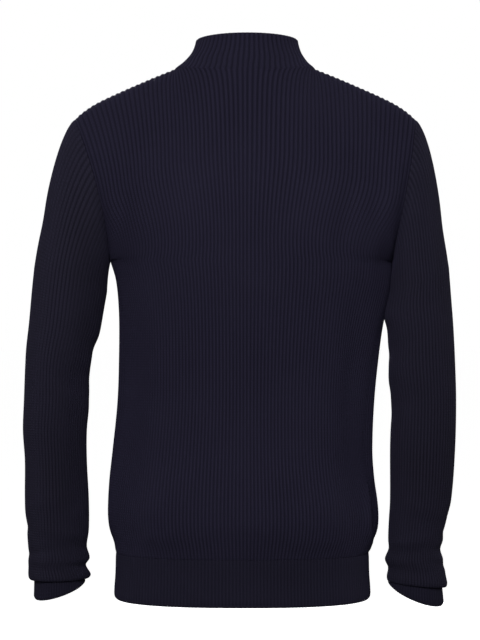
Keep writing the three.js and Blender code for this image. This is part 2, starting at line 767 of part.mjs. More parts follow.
function pullSolid() {
  const shape = new THREE.Shape();
  const { corner } = PULL;
  const [half, top] = [PULL.width / 2, PULL.bar / 2];
  const bottom = top - PULL.length;
  shape.moveTo(-half, top);
  shape.lineTo(half, top);
  shape.lineTo(half, bottom + corner);
  shape.quadraticCurveTo(half, bottom, half - corner, bottom);
  shape.lineTo(corner - half, bottom);
  shape.quadraticCurveTo(-half, bottom, -half, bottom + corner);
  const window = new THREE.Path();
  const inner = CROWN.width / 2 + PULL.play;
  window.moveTo(-inner, -top);
  window.lineTo(-inner, -top - PULL.window);
  window.lineTo(inner, -top - PULL.window);
  window.lineTo(inner, -top);
  shape.holes.push(window);
  const plate = new THREE.ExtrudeGeometry(shape, {
    depth: PULL.thick, bevelEnabled: false, curveSegments: 4,
  });
  return plate.translate(0, 0, -PULL.thick / 2).rotateX(RIGHT_ANGLE)
    .translate(0, PULL_AXIS.y, PULL_AXIS.z);
}

// Places what is made in the slider's frame on the zip's line
function onZip(share, ...meshes) {
  const { at, along, out } = zipFrame(share);
  const group = new THREE.Group();
  const middle = at.clone().addScaledVector(out, -CHAIN_SUNK - CHAIN_THICK / 2);
  group.position.copy(middle);
  group.rotation.x = Math.atan2(-along.y, along.z);
  group.add(...meshes);
  return group;
}

function zip() {
  const group = new THREE.Group();
  const chain = zipStrip(-CHAIN, CHAIN, CHAIN_SUNK, CHAIN_THICK, ZIP_START, SLIDER_AT, 14);
  const stop = box(STOP.width, STOP.thick, STOP.height, 0, 0, 0);
  group.add(
    named('zip_tape_left', zipTape('left'), ZIP_CLOTH),
    named('zip_tape_right', zipTape('right'), ZIP_CLOTH),
    named('zip_chain', chain, TEETH),
    onZip(SLIDER_AT, named('zip_slider', sliderSolid(), METAL), named('zip_pull', pullSolid(), METAL)),
    onZip(STOP.from / ZIP_LENGTH, named('zip_bottom_stop', stop, METAL)),
  );
  return group;
}

const sweater = new THREE.Group();
sweater.name = 'quarter_zip_sweater';
sweater.add(
  named('back', panel('back'), KNIT),
  named('front', panel('front'), KNIT),
  named('sleeve_left', sleeve('left'), KNIT),
  named('sleeve_right', sleeve('right'), KNIT),
  named('cuff_left', cuff('left'), KNIT),
  named('cuff_right', cuff('right'), KNIT),
  named('hem_band', hemBand(), KNIT),
  named('collar', collar(), KNIT),
  zip(),
);

export default sweater;
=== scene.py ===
# A rib-knit quarter zip sweater, filled out as it is when worn, with nobody in it.
# Tables and sizes are in millimetres; meshes are made in metres.

import math

import bpy
import bmesh
import numpy as np
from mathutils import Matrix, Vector

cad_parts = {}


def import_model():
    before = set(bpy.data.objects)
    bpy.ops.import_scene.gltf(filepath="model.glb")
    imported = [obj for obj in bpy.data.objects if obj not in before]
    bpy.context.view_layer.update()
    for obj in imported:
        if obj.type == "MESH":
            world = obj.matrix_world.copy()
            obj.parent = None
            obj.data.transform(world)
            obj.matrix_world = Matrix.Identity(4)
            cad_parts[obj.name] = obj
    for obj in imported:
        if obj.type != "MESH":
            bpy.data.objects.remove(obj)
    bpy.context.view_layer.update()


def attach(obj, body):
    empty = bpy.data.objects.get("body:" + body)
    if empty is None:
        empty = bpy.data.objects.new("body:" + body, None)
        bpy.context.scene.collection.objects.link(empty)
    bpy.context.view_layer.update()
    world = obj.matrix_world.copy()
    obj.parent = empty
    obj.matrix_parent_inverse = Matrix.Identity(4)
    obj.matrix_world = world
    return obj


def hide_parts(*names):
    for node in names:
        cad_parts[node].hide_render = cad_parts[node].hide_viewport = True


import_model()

MM = 0.001
PHOTO_SCALE = 1.31

# Cloth
WALL = 2.6
RIB = 1.3
SEAM = 0.3
COURSE = 3.3
RIB_COLUMNS = 6
INNER_STEP = 4

# Heights of the main seams
HEM_EDGE = -687
HEM_SIDE_RISE = 3
HEM_SEAM = -626
ARMPIT = -246
SHOULDER_TIP = -58
SHOULDER_CROWN = 9.5

# Zip
SLOT = 6.5
CHAIN_THICK = 2.4

RIGHT_ANGLE = math.pi / 2
SIDE = {"left": 1, "right": -1}


def lerp(a, b, t):
    return a + (b - a) * t


def smoothstep(value, low, high):
    t = np.clip((value - low) / (high - low), 0, 1)
    return t * t * (3 - 2 * t)


def points(x, y, z):
    return np.stack(np.broadcast_arrays(x, y, z), -1).astype(float)


def unit(vectors):
    return vectors / np.maximum(np.linalg.norm(vectors, axis=-1, keepdims=True), 1e-9)


class Curve:
    """A smooth curve through a table's rows, for every column at once."""

    def __init__(self, names, rows):
        self.names = names.split()
        self.rows = np.array(rows, float)
        key = self.rows[:, 0]
        before = np.maximum(np.arange(len(key)) - 1, 0)
        after = np.minimum(np.arange(len(key)) + 1, len(key) - 1)
        self.slopes = (self.rows[after] - self.rows[before]) / (key[after] - key[before])[:, None]

    def __call__(self, value):
        value = np.asarray(value, float)
        key = self.rows[:, 0]
        n = np.clip(np.searchsorted(key, value) - 1, 0, len(key) - 2)
        span = (key[n + 1] - key[n])[..., None]
        t = np.clip((value[..., None] - key[n][..., None]) / span, 0, 1)
        t2, t3 = t * t, t * t * t
        found = (self.rows[n] * (2 * t3 - 3 * t2 + 1) + self.rows[n + 1] * (3 * t2 - 2 * t3)
                 + span * (self.slopes[n] * (t3 - 2 * t2 + t) + self.slopes[n + 1] * (t3 - t2)))
        return {name: found[..., k] for k, name in enumerate(self.names)}


# Outline of the body: half widths to the wearer's left and right, depths to the back and front
BODY = Curve("height left right back front", [
    [-626, 169, 162, 104, 112],
    [-612, 171.5, 168, 108, 118],
    [-597, 177, 174, 114, 126],
    [-580, 179.5, 175.5, 117, 131],
    [-558, 179.5, 174, 116, 131],
    [-530, 178, 170, 111, 127],
    [-493, 174, 167.5, 104, 122],
    [-427, 167.5, 170, 99, 118],
    [-361, 165.5, 176.5, 101, 120],
    [-309, 165.5, 183.5, 106, 124],
    [-270, 169, 189.5, 111, 127],
    [-246, 176, 190, 113, 128],
])

# Centre lines above the armpit; rise goes from 0 at the armpit to 1 at the neck
CENTRE = {
    "back": Curve("rise height depth", [
        [0, -246, 113], [0.25, -190, 113], [0.5, -130, 107], [0.75, -63, 90], [1, 0, 66],
    ]),
    "front": Curve("rise height depth", [
        [0, -246, -128], [0.3, -193, -125], [0.6, -133, -113], [0.85, -82, -95], [1, -52, -82],
    ]),
}

ARMHOLE = {
    "left": {"bottom": 176, "tip": 222, "inset": 9},
    "right": {"bottom": 190, "tip": 222, "inset": -2},
}
ARMHOLE_DEPTH = 62
ARMHOLE_Y = -4

# Shares of half a panel's top edge that the zip's slot and the neck take up
SLOT_SHARE = 2 / 38
NECK_SHARE = 18 / 38

COLLAR = Curve("rise side y back front sideHeight backHeight frontHeight lean", [
    [0, 92, -5, 71, 77, 7, 0, -52, 0],
    [0.18, 81, -8, 63.5, 72, 17, 11, -39, -1],
    [0.45, 73, -13, 56.5, 67, 27.5, 25, -19, -2],
    [0.75, 68.8, -19, 55, 64, 38.5, 39, 4, -2.6],
    [1, 67, -22, 57, 62, 47.5, 50.5, 23, -2.8],
])

SLEEVE_COLUMNS = "along x y height width depth tilt"
CUFF_COLUMNS = "along x y height width depth tilt hang"
SLEEVE = {
    "left": Curve(SLEEVE_COLUMNS, [
        [0, 246.5, -44, -660, 33.5, 34, -3],
        [5, 246.8, -44, -666, 37.5, 38, -1],
        [11, 246.2, -44, -661.5, 41.4, 41.5, -1],
        [22, 249.4, -43, -647.6, 38.1, 39, 0],
        [31, 246.8, -42, -638.4, 40.6, 42, 0],
        [46, 248.8, -40, -622, 38.9, 41, 0],
        [67, 248, -37, -600.4, 41.1, 43, 0],
        [106, 248.8, -31, -560.4, 42.3, 45, 0],
        [158, 249.4, -22, -507.3, 40.9, 46, 0],
        [198, 250.1, -15, -466.7, 42.1, 49, 0],
        [237, 247, -8, -427.3, 43.2, 51, 0],
        [276, 246.3, -3, -388, 41.9, 53, 3],
        [300, 243, -1, -364, 43.5, 55, 6],
        [329, 237, 0, -335, 45.8, 58, 9],
        [368, 231.9, -1, -296, 47.2, 61, 12],
        [396, 228.5, -2, -270, 47.6, 63, 16],
    ]),
    "right": Curve(SLEEVE_COLUMNS, [
        [0, 227.5, -46, -669, 34.5, 34, -4],
        [5, 228.5, -46, -672.8, 38.6, 38, -4],
        [12, 228.8, -46, -667.2, 40.2, 41, -4],
        [26, 227.8, -45, -653, 37.6, 39, -2],
        [39, 224.7, -43, -639.5, 38.7, 41, 0],
        [52, 225.1, -41, -626, 34.3, 38, 0],
        [64, 226.4, -39, -613.7, 36.5, 40, 0],
        [90, 228.8, -36, -587, 38, 42, 0],
        [116, 232.4, -31, -560.4, 40.4, 45, 0],
        [181, 234.1, -20, -494, 42.8, 48, 0],
        [247, 234.6, -10, -427.3, 42.8, 51, 0],
        [300, 231.2, -3, -374, 43.9, 54, 3],
        [339, 229.7, 0, -335, 42.8, 57, 8],
        [374, 227, -1, -300, 42.5, 60, 12],
        [404, 228.2, -2, -270, 38.8, 63, 16],
    ]),
}

CUFF = {
    "left": Curve(CUFF_COLUMNS, [
        [0, 246.5, -45, -681, 34.2, 36.2, -9.7, 6.5],
        [0.3, 246.4, -45, -674, 34, 36, -7.5, 4],
        [1, 246.5, -44, -660, 33.5, 34, -3, 0],
    ]),
    "right": Curve(CUFF_COLUMNS, [
        [0, 227.6, -47, -685, 37.3, 36.2, -13, 9],
        [0.3, 227.2, -47, -679.5, 36.6, 36, -10, 5],
        [1, 227.5, -46, -669, 34.5, 34, -4, 0],
    ]),
}

HEM = Curve("rise out", [[0, 1.4], [0.12, 2.2], [0.55, 0.6], [1, 0]])

# Ribs: on half a panel below the armpit and at the shoulder, and round a sleeve
HALF_RIBS = 50
SHOULDER_RIBS = 38
SLEEVE_RIBS = 60

# How far from the armhole's seam its crease reaches, and how soon a crease ends at other seams
CREASE_REACH = 9
SIDE_FADE = 250
HEM_FADE = 1.3

# Soft folds of the body: side of the cloth, place across and up, size, height and slant
FOLDS = [
    [1, 0.62, 0.2, 0.16, 0.22, 3.5, 0.25],
    [1, -0.66, 0.16, 0.13, 0.2, 4, -0.2],
    [1, 0.2, 0.12, 0.2, 0.12, -3, 0],
    [1, -0.75, 0.55, 0.14, 0.25, -3, 0.3],
    [1, 0.72, 0.75, 0.12, 0.25, -3.5, -0.3],
    [1, 0.82, 1.35, 0.1, 0.3, -3, 0.1],
    [1, -0.84, 1.3, 0.1, 0.35, -3.5, -0.1],
    [-1, 0.55, 0.18, 0.18, 0.2, 4, 0.3],
    [-1, -0.45, 0.14, 0.16, 0.18, 3, -0.2],
    [-1, -0.78, 0.7, 0.14, 0.3, -4, 0.35],
    [-1, 0.76, 0.72, 0.13, 0.28, -4, -0.3],
    [-1, 0.8, 1.3, 0.1, 0.3, -4, 0.1],
    [-1, -0.8, 1.35, 0.1, 0.3, -3.5, -0.1],
]


# Creases of the panels as seen from their own side: two ends, width, and height or depth
CREASES = {
    "back": [
        [164, -236, 118, -178, 15, 1.8],
        [172, -222, 140, -140, 12, -1.6],
        [-194, -112, -164, -266, 13, 4],
        [-146, -104, -116, -262, 16, -3.5],
        [-150, -262, -147, -650, 28, -14],
        [154, -280, 150, -650, 27, -12],
        [-164, -522, -163, -618, 5, 4],
        [-173.5, -516, -172, -616, 4, -5],
        [-187, -226, -184, -330, 7, 2.8],
        [-128, -604, -48, -610, 9, 1.6],
        [-30, -596, 60, -602, 11, -1.5],
        [88, -606, 140, -596, 10, 1.8],
        [168, -560, 150, -470, 12, -1.8],
        [155, -600, 120, -540, 13, 1.5],
        [-96, -585, -120, -520, 16, 1.2],
        [-30, -140, 40, -150, 22, -0.8],
    ],
    "front": [
        [-160, -236, -104, -176, 15, 2.2],
        [-168, -214, -128, -140, 12, -1.8],
        [170, -236, 116, -184, 15, 2],
        [180, -206, 146, -136, 12, -1.6],
        [8, -182, 34, -236, 10, -2],
        [-10, -184, -46, -250, 11, 1.5],
        [-120, -600, -30, -606, 10, 1.8],
        [24, -604, 116, -596, 10, -1.8],
        [150, -606, 120, -548, 12, 2],
        [-152, -590, -138, -500, 13, 2.4],
        [-154, -280, -152, -650, 22, -5],
        [153, -280, 150, -650, 23, -6],
        [-60, -560, -84, -470, 18, -1.6],
        [70, -540, 96, -440, 18, 1.6],
    ],
}

# Creases of the sleeves: angle from the inner side over the back, height, how far each
# reaches round and up, height or depth, and how much it climbs per degree
SLEEVE_CREASES = {
    "left": [
        [20, -352, 60, 12, -2.6, 0.25],
        [42, -450, 24, 150, -4.5, 0],
        [10, -384, 55, 11, 2, 0.2],
        [40, -412, 60, 12, -1.8, 0.3],
        [110, -560, 50, 9, 1.6, -0.2],
        [200, -590, 60, 8, -1.8, 0.2],
        [60, -604, 50, 8, 2, 0.15],
        [130, -628, 60, 6, -2, -0.12],
        [230, -634, 50, 6, 1.8, 0.1],
        [90, -646, 45, 5, 1.6, 0.1],
        [160, -200, 50, 26, -1.6, 0.5],
        [250, -240, 45, 24, 1.6, -0.5],
        [300, -370, 60, 13, -2.2, -0.25],
        [280, -600, 55, 9, -1.8, -0.15],
    ],
    "right": [
        [18, -248, 24, 14, 3.4, 0],
        [18, -268, 24, 13, 3, 0],
        [18, -290, 24, 16, 3.6, 0],
        [16, -316, 26, 12, 4, 0],
        [20, -362, 55, 12, -2.4, 0.25],
        [15, -396, 55, 12, 2, 0.2],
        [50, -430, 60, 13, -1.8, 0.3],
        [100, -572, 50, 9, 1.6, -0.2],
        [190, -600, 60, 8, -1.8, 0.18],
        [60, -616, 50, 8, 1.8, 0.15],
        [130, -642, 60, 6, -2, -0.12],
        [220, -650, 50, 6, 1.8, 0.1],
        [150, -190, 50, 26, -1.4, -0.5],
        [255, -236, 45, 24, 1.6, 0.5],
        [305, -380, 60, 13, -2.2, -0.25],
        [285, -610, 55, 9, -1.8, -0.15],
    ],
}


def walk(line, shares):
    """Places along a line of points, by length, and the line's length."""
    steps = np.linalg.norm(np.diff(line[:, :3], axis=0), axis=1)
    length = np.concatenate([[0], np.cumsum(steps)])
    wanted = np.clip(shares, 0, 1) * length[-1]
    return np.stack([np.interp(wanted, length, column) for column in line.T], -1), length[-1]


def armhole(hand, angle):
    """The armhole's seam: angle 0 at the armpit, then back, shoulder tip and front."""
    size = ARMHOLE[hand]
    rise = (1 - np.cos(angle)) / 2
    across = np.sin(angle)
    at = points(
        SIDE[hand] * (lerp(size["bottom"], size["tip"], rise) - size["inset"] * across * across),
        ARMHOLE_Y * rise + ARMHOLE_DEPTH * across,
        lerp(ARMPIT, SHOULDER_TIP, rise),
    )
    return at, unit(points(0, across * 1.5, -np.cos(angle)))


def neck_ring(row, hand, angle):
    """A ring round the neck; angle 0 is the middle of the back, a right angle is the side."""
    s, c = np.sin(angle), np.cos(angle)
    behind = c > 0
    end = np.where(behind, row["backHeight"], row["frontHeight"])
    fall = np.where(behind, c * c, np.abs(c) ** 1.5)
    return points(
        SIDE[hand] * row["side"] * np.abs(s) ** 0.92 + row["lean"] * (1 - ((1 - c) / 2) ** 4),
        row["y"] + np.where(behind, row["back"], row["front"]) * np.sign(c) * np.abs(c) ** 0.92,
        lerp(row["sideHeight"], end, fall),
    )


def neck_seam(hand, angle):
    out = unit(points(SIDE[hand] * np.sin(angle) * 0.6, np.cos(angle) * 0.85, 0.62))
    return neck_ring(COLLAR(0.0), hand, angle), out


def column_share(length, column):
    """How far along a row each column lies: the first ones keep to the zip's slot."""
    slot = SLOT / length
    inside = column < SLOT_SHARE
    return np.where(inside, slot * column / SLOT_SHARE,
                    lerp(slot, 1, (column - SLOT_SHARE) / (1 - SLOT_SHARE)))


def top_edge(face, hand, column):
    """The top edge of the back or front: half the neck, then the shoulder seam."""
    turn = np.linspace(0, RIGHT_ANGLE, 200)
    neck = np.hstack(neck_seam(hand, turn if face == "back" else math.pi - turn))
    tip = armhole(hand, math.pi)[0]
    corner, corner_out = neck_seam(hand, RIGHT_ANGLE)
    t = np.linspace(0, 1, 200)[:, None]
    shoulder = lerp(corner, tip, t)
    shoulder[:, 2:] += SHOULDER_CROWN * t ** 0.7 * (1 - t ** 8)
    shoulder_out = unit(lerp(corner_out, np.array([0.0, 0.0, 1.0]), smoothstep(t, 0, 0.2)))
    length = walk(neck, 0.0)[1]
    slot = SLOT / length
    on_neck = column / NECK_SHARE
    first = SLOT_SHARE / NECK_SHARE
    neck_share = np.where(on_neck < first, slot * on_neck / first,
                          lerp(slot, 1, (on_neck - first) / (1 - first)))
    past = (column - NECK_SHARE) / (1 - NECK_SHARE)
    found = np.where((column < NECK_SHARE)[:, None], walk(neck, neck_share)[0],
                     walk(np.hstack([shoulder, shoulder_out]), past)[0])
    inside = column <= SLOT_SHARE
    found[inside, 0] = SIDE[hand] * SLOT * column[inside] / SLOT_SHARE
    return found[:, :3], unit(found[:, 3:])


def side_edge(face, hand, level):
    """The line that ends a section: side seam under the armpit, armhole above it."""
    sign = 1 if face == "back" else -1
    if level > 1:
        at, out = armhole(hand, (level - 1) * math.pi)
        middle = ARMHOLE_Y * (1 - math.cos((level - 1) * math.pi)) / 2
        at[1] = middle + sign * (at[1] - middle)
        out[1] *= sign
        return at, out
    height = lerp(HEM_SEAM, ARMPIT, level)
    turn = float(smoothstep(level, 0.95, 1))
    out = unit(lerp(points(SIDE[hand], 0, 0), points(0, 0, -1), turn))
    return points(SIDE[hand] * BODY(height)[hand], 0, height), out


def centre_line(face, level):
    if level > 1:
        rise = level - 1
        row = CENTRE[face](lerp(rise, math.sin(rise * RIGHT_ANGLE), 0.8))
        return points(0, row["depth"], row["height"])
    height = lerp(HEM_SEAM, ARMPIT, level)
    row = BODY(height)
    return points(0, row["back"] if face == "back" else -row["front"], height)


def section(face, hand, level):
    """One section of the back or front, from the centre line to its edge."""
    edge = side_edge(face, hand, level)[0]
    middle = centre_line(face, level)
    bend = lerp(RIGHT_ANGLE, 0.9, float(smoothstep(level, 1, 1.8)))
    fullness = 0.86
    end = max(math.cos(bend), 0) ** fullness
    t = np.linspace(0, 1, 240)
    across = (np.sin(t * bend) / math.sin(bend)) ** fullness
    forward = (np.maximum(np.cos(t * bend), 0) ** fullness - end) / (1 - end)
    return points(edge[0] * across, lerp(edge[1], middle[1], forward),
                  lerp(middle[2], edge[2], across * across))


def fold_lift(face, across, level):
    sign = 1 if face == "back" else -1
    lift = np.zeros_like(across)
    for side, place, rise, wide, tall, height, slant in FOLDS:
        if side != sign:
            continue
        up = (level - rise) / tall
        off = (across - place - slant * (level - rise)) / wide
        lift += height * np.exp(-up * up - off * off)
    return lift * smoothstep(1 - np.abs(across), 0, 0.2) * smoothstep(level, 0, 0.15)


def crease_lift(face, at, shares):
    """How far the creases move each place of a panel outwards; they end at the seams."""
    x, z = at[..., 0], at[..., 2]
    lift = np.zeros(x.shape)
    for x0, z0, x1, z1, wide, height in CREASES[face]:
        run = np.array([x1 - x0, z1 - z0])
        t = ((x - x0) * run[0] + (z - z0) * run[1]) / (run @ run)
        near = np.clip(t, 0, 1)
        off = np.hypot(x - x0 - near * run[0], z - z0 - near * run[1])
        taper = smoothstep(near, -0.1, 0.35) * smoothstep(1 - near, -0.1, 0.35)
        ends = smoothstep(1 - shares, 0, wide / SIDE_FADE) * smoothstep(z - HEM_SEAM, 0, wide * HEM_FADE)
        lift += height * taper * ends * np.exp(-(off / wide) ** 2)
    return lift


def sleeve_lift(hand, angle, height):
    lift = np.zeros(height.shape)
    degrees = np.degrees(angle)
    for place, rise, wide, tall, amount, climb in SLEEVE_CREASES[hand]:
        off = (degrees - place + 180) % 360 - 180
        up = (height - rise - climb * off) / tall
        lift += amount * np.exp(-(off / wide) ** 2 - up * up)
    return lift


def armhole_sink(hand, level):
    """How far the armhole's seam lies in the crease between the body and the sleeve."""
    high = {"left": 1.62, "right": 1.78}[hand]
    return 5.5 * smoothstep(level, 1.0, 1.42) * (1 - smoothstep(level, high - 0.32, high))


def rounded(moves, times=40):
    """The same moves, with the corner between the neck and the shoulder rounded off."""
    soft = moves.copy()
    for _ in range(times):
        soft[1:-1] = soft[1:-1] * 0.5 + (soft[:-2] + soft[2:]) * 0.25
    return soft


def grid_normal(at, wraps):
    """Normals of a grid whose rows go up and whose columns go round."""
    if wraps:
        along = np.roll(at, -1, 1) - np.roll(at, 1, 1)
    else:
        along = np.gradient(at, axis=1)
    return unit(np.cross(along, np.gradient(at, axis=0)))


def way_up(at):
    """Mean distance of each row of a grid from its first one."""
    steps = np.linalg.norm(np.diff(at, axis=0), axis=2).mean(1)
    return np.concatenate([[0], np.cumsum(steps)])


def rib_drop(phase, depth, sharp=0.75):
    """How far the cloth lies under the crest of its nearest rib, a crest at each whole number."""
    crest = (np.cos(phase * 2 * math.pi) + 1) / 2
    return depth * (1 - crest ** sharp)


def rows_between(start, end, count, fine_start=False, fine_end=False):
    """Evenly spaced values with a few close ones beside a seam."""
    values = list(np.linspace(start, end, count))
    step = values[1] - values[0]
    near = [0.12, 0.3, 0.55]
    extra = [start + step * n for n in near] if fine_start else []
    extra += [end - step * n for n in near] if fine_end else []
    return np.array(sorted(set(values + extra)))


class Faces:
    """Faces of a mesh and the knit's place at each of their corners."""

    def __init__(self):
        self.corners = []
        self.places = []
        self.sizes = []

    def add(self, corners, places):
        self.corners.append(np.asarray(corners).ravel())
        self.places.append(np.asarray(places, float).reshape(-1, 2))
        self.sizes.append(np.full(len(corners), np.asarray(corners).shape[1]))


def shell(name, at, out, drop, phase, course, thick, wraps=False, open_cells=None):
    """A closed wall: fine ribbed outside, plain inside with one column for every few outside."""
    rows, columns = at.shape[:2]
    if wraps:
        at = np.concatenate([at, at[:, :1]], 1)
        out = np.concatenate([out, out[:, :1]], 1)
        drop = np.concatenate([drop, drop[:, :1]], 1)
        columns += 1
    cells = (columns - 1) // INNER_STEP
    outer = at - out * drop[..., None]
    inner = (at - out * thick)[:, ::INNER_STEP]
    place = np.stack([phase, course], -1)
    inner_place = place[:, ::INNER_STEP]
    outer_id = np.arange(rows * columns).reshape(rows, columns)
    inner_id = rows * columns + np.arange(rows * (cells + 1)).reshape(rows, cells + 1)
    if wraps:
        outer_id[:, -1] = outer_id[:, 0]
        inner_id[:, -1] = inner_id[:, 0]
    solid = np.ones((rows - 1, cells), bool)
    if open_cells is not None:
        solid &= ~open_cells
    fine = np.repeat(solid, INNER_STEP, 1)
    faces = Faces()

    def corners_of(grid, mask):
        parts = [grid[:-1, :-1], grid[:-1, 1:], grid[1:, 1:], grid[1:, :-1]]
        return np.stack([part[mask] for part in parts], 1)

    faces.add(corners_of(outer_id, fine), corners_of(place, fine))
    faces.add(corners_of(inner_id, solid)[:, ::-1], corners_of(inner_place, solid)[:, ::-1])

    def filled(i, cell):
        c = cell % cells if wraps else cell
        return 0 <= i < rows - 1 and 0 <= c < cells and solid[i, c]

    triangles, quads = [], []
    for i in range(rows - 1):
        for cell in range(cells):
            if not solid[i, cell]:
                continue
            start = cell * INNER_STEP
            for row, beyond, up in ((i, i - 1, False), (i + 1, i + 1, True)):
                if filled(beyond, cell):
                    continue
                for n in range(INNER_STEP):
                    a, b = (row, start + n, 0), (row, start + n + 1, 0)
                    c = (row, cell + (0 if n < INNER_STEP // 2 else 1), 1)
                    triangles.append((a, b, c) if up else (a, c, b))
                    if n == INNER_STEP // 2 - 1:
                        d, e = (row, cell + 1, 1), (row, cell, 1)
                        triangles.append((b, d, e) if up else (b, e, d))
            for side, column, inner_column in ((-1, start, cell), (1, start + INNER_STEP, cell + 1)):
                if filled(i, cell + side):
                    continue
                ring = [(i, column, 0), (i + 1, column, 0), (i + 1, inner_column, 1), (i, inner_column, 1)]
                quads.append(ring if side < 0 else ring[::-1])
    ids, places = (outer_id, inner_id), (place, inner_place)
    for group in (triangles, quads):
        if group:
            faces.add([[ids[layer][i, j] for i, j, layer in face] for face in group],
                      [[places[layer][i, j] for i, j, layer in face] for face in group])
    return make_mesh(name, np.concatenate([outer.reshape(-1, 3), inner.reshape(-1, 3)]), faces)


def make_mesh(name, vertices, faces):
    """A Blender object from millimetre points; vertices that no face uses are left out."""
    corners = np.concatenate(faces.corners)
    used, corners = np.unique(corners, return_inverse=True)
    vertices = np.asarray(vertices, float)[used] * MM
    sizes = np.concatenate(faces.sizes)
    mesh = bpy.data.meshes.new(name)
    mesh.vertices.add(len(vertices))
    mesh.vertices.foreach_set("co", vertices.ravel())
    mesh.loops.add(len(corners))
    mesh.loops.foreach_set("vertex_index", corners.ravel().astype(np.int32))
    mesh.polygons.add(len(sizes))
    starts = np.concatenate([[0], np.cumsum(sizes)[:-1]])
    mesh.polygons.foreach_set("loop_start", starts.astype(np.int32))
    mesh.polygons.foreach_set("use_smooth", np.ones(len(sizes), bool))
    knit = mesh.uv_layers.new(name="knit")
    knit.uv.foreach_set("vector", np.concatenate(faces.places).ravel())
    mesh.update(calc_edges=True)
    mesh.validate()
    piece = bpy.data.objects.new(f"{name}_cloth", mesh)
    bpy.context.collection.objects.link(piece)
    return piece


LOW_LEVELS = rows_between(0, 1, 62, fine_start=True)
HIGH_LEVELS = rows_between(1, 2, 51, fine_end=True)[1:]
LEVELS = np.concatenate([LOW_LEVELS, HIGH_LEVELS])
ZIP_LEVEL = 1.3
SLOT_COLUMNS = 8
HALF_COLUMNS = HALF_RIBS * RIB_COLUMNS
COLUMN = np.concatenate([
    np.linspace(0, SLOT_SHARE, SLOT_COLUMNS + 1)[:-1],
    np.linspace(SLOT_SHARE, 1, HALF_COLUMNS - SLOT_COLUMNS + 1),
])
COARSE_COLUMN = np.linspace(0, 1, 39)


# Places and directions of the ribs' crests, kept for what is sewn on them
SURFACES = {}


def section_places(face, hand, level, column):
    line = section(face, hand, level)
    share = column_share(walk(line, 0.0)[1], column)
    return walk(line, share)[0], share


def half_panel(face, hand):
    """Places, seam directions, lifts and shares of half a panel, from its centre line."""
    top, top_out = top_edge(face, hand, COLUMN)
    moves = top - section_places(face, hand, 2, COLUMN)[0]
    coarse = top_edge(face, hand, COARSE_COLUMN)[0] - section_places(face, hand, 2, COARSE_COLUMN)[0]
    steady = Curve("column x y z", np.column_stack([COARSE_COLUMN, rounded(coarse)]))(COLUMN)
    soft = points(steady["x"], steady["y"], steady["z"])
    at, side_out, lift, shares = [], [], [], []
    for level in LEVELS:
        places, share = section_places(face, hand, level, COLUMN)
        rise = max(level - 1, 0)
        pull = rise ** 2.6
        places += soft * pull + (moves - soft) * rise ** 9
        centre = COLUMN <= SLOT_SHARE
        places[centre, 0] = top[centre, 0]
        at.append(places)
        side_out.append(side_edge(face, hand, level)[1])
        lift.append(fold_lift(face, SIDE[hand] * share, level) * (1 - pull))
        shares.append(share)
    return np.array(at), np.array(side_out), top_out, np.array(lift), np.array(shares)


def ribs_at(levels):
    """Ribs on half a panel: the armholes cut some off."""
    return lerp(HALF_RIBS, SHOULDER_RIBS, smoothstep(levels, 1, 1.45))


def panel(face):
    sign = 1 if face == "back" else -1
    halves = {hand: half_panel(face, hand) for hand in SIDE}

    def whole(part):
        right, left = part("right"), part("left")
        return np.concatenate([right[:, :0:-1], left], 1)

    at = whole(lambda hand: halves[hand][0])
    lift = whole(lambda hand: halves[hand][3])
    shares = whole(lambda hand: halves[hand][4])
    hands = whole(lambda hand: np.full((len(LEVELS), len(COLUMN)), SIDE[hand]))
    sides = whole(lambda hand: np.repeat(halves[hand][1][:, None], len(COLUMN), 1))
    tops = whole(lambda hand: np.repeat(halves[hand][2][None], len(LEVELS), 0))
    normal = -sign * grid_normal(at, False)
    lift = lift + crease_lift(face, at, shares)
    at = at + normal * lift[..., None]
    level = LEVELS[:, None]
    near_top = 0.4 * smoothstep(level, LEVELS[-6], 2)
    near_top[-1] = 1
    foot = normal.copy()
    foot[0, :, 2] = 0
    out = unit(lerp(unit(foot), sides, smoothstep(shares, 0.9, 1)[..., None]))
    out = unit(lerp(out, tops, near_top[..., None]))
    edge = shares >= 1
    out[:-1][edge[:-1]] = sides[:-1][edge[:-1]]
    arc = (1 - shares) * 240
    sink = np.where(hands > 0, armhole_sink("left", level), armhole_sink("right", level))
    at = at - out * (sink * np.exp(-(arc / CREASE_REACH) ** 2))[..., None]
    at[0, :, 2] += SEAM / 2
    at[-1, :, 1] += sign * SEAM / 2
    low_edge = edge & (level <= 1)
    low_edge[-1] = False
    at[low_edge, 1] += sign * SEAM / 2
    high_edge = edge & (level > 1)
    at[high_edge, 0] -= hands[high_edge] * SEAM / 2
    phase = hands * shares * ribs_at(level)
    up = np.concatenate([[0], np.cumsum(np.linalg.norm(np.diff(at[:, at.shape[1] // 2], axis=0), axis=1))])
    course = np.repeat(up[:, None] / COURSE, at.shape[1], 1)
    seam_fade = smoothstep(arc, 0, 4) * smoothstep(up[:, None], 0, 5)
    top_fade = smoothstep(up[-1] - up[:, None], 0, 3)
    drop = rib_drop(phase, RIB) * lerp(0.35, 1, seam_fade) + 0.4 * (1 - seam_fade) * RIB
    drop = drop + 0.3 * (1 - top_fade)
    if face == "back":
        at, out, drop, phase, course = (part[:, ::-1] for part in (at, out, drop, phase, course))
    cells = (at.shape[1] - 1) // INNER_STEP
    open_cells = None
    if face == "front":
        open_cells = np.zeros((len(LEVELS) - 1, cells), bool)
        middle = cells // 2
        slot_cells = SLOT_COLUMNS // INNER_STEP
        open_cells[LEVELS[:-1] >= ZIP_LEVEL - 1e-6, middle - slot_cells:middle + slot_cells] = True
    SURFACES[face] = at, out
    return shell(face, at, out, drop, phase, course, WALL + RIB, open_cells=open_cells)


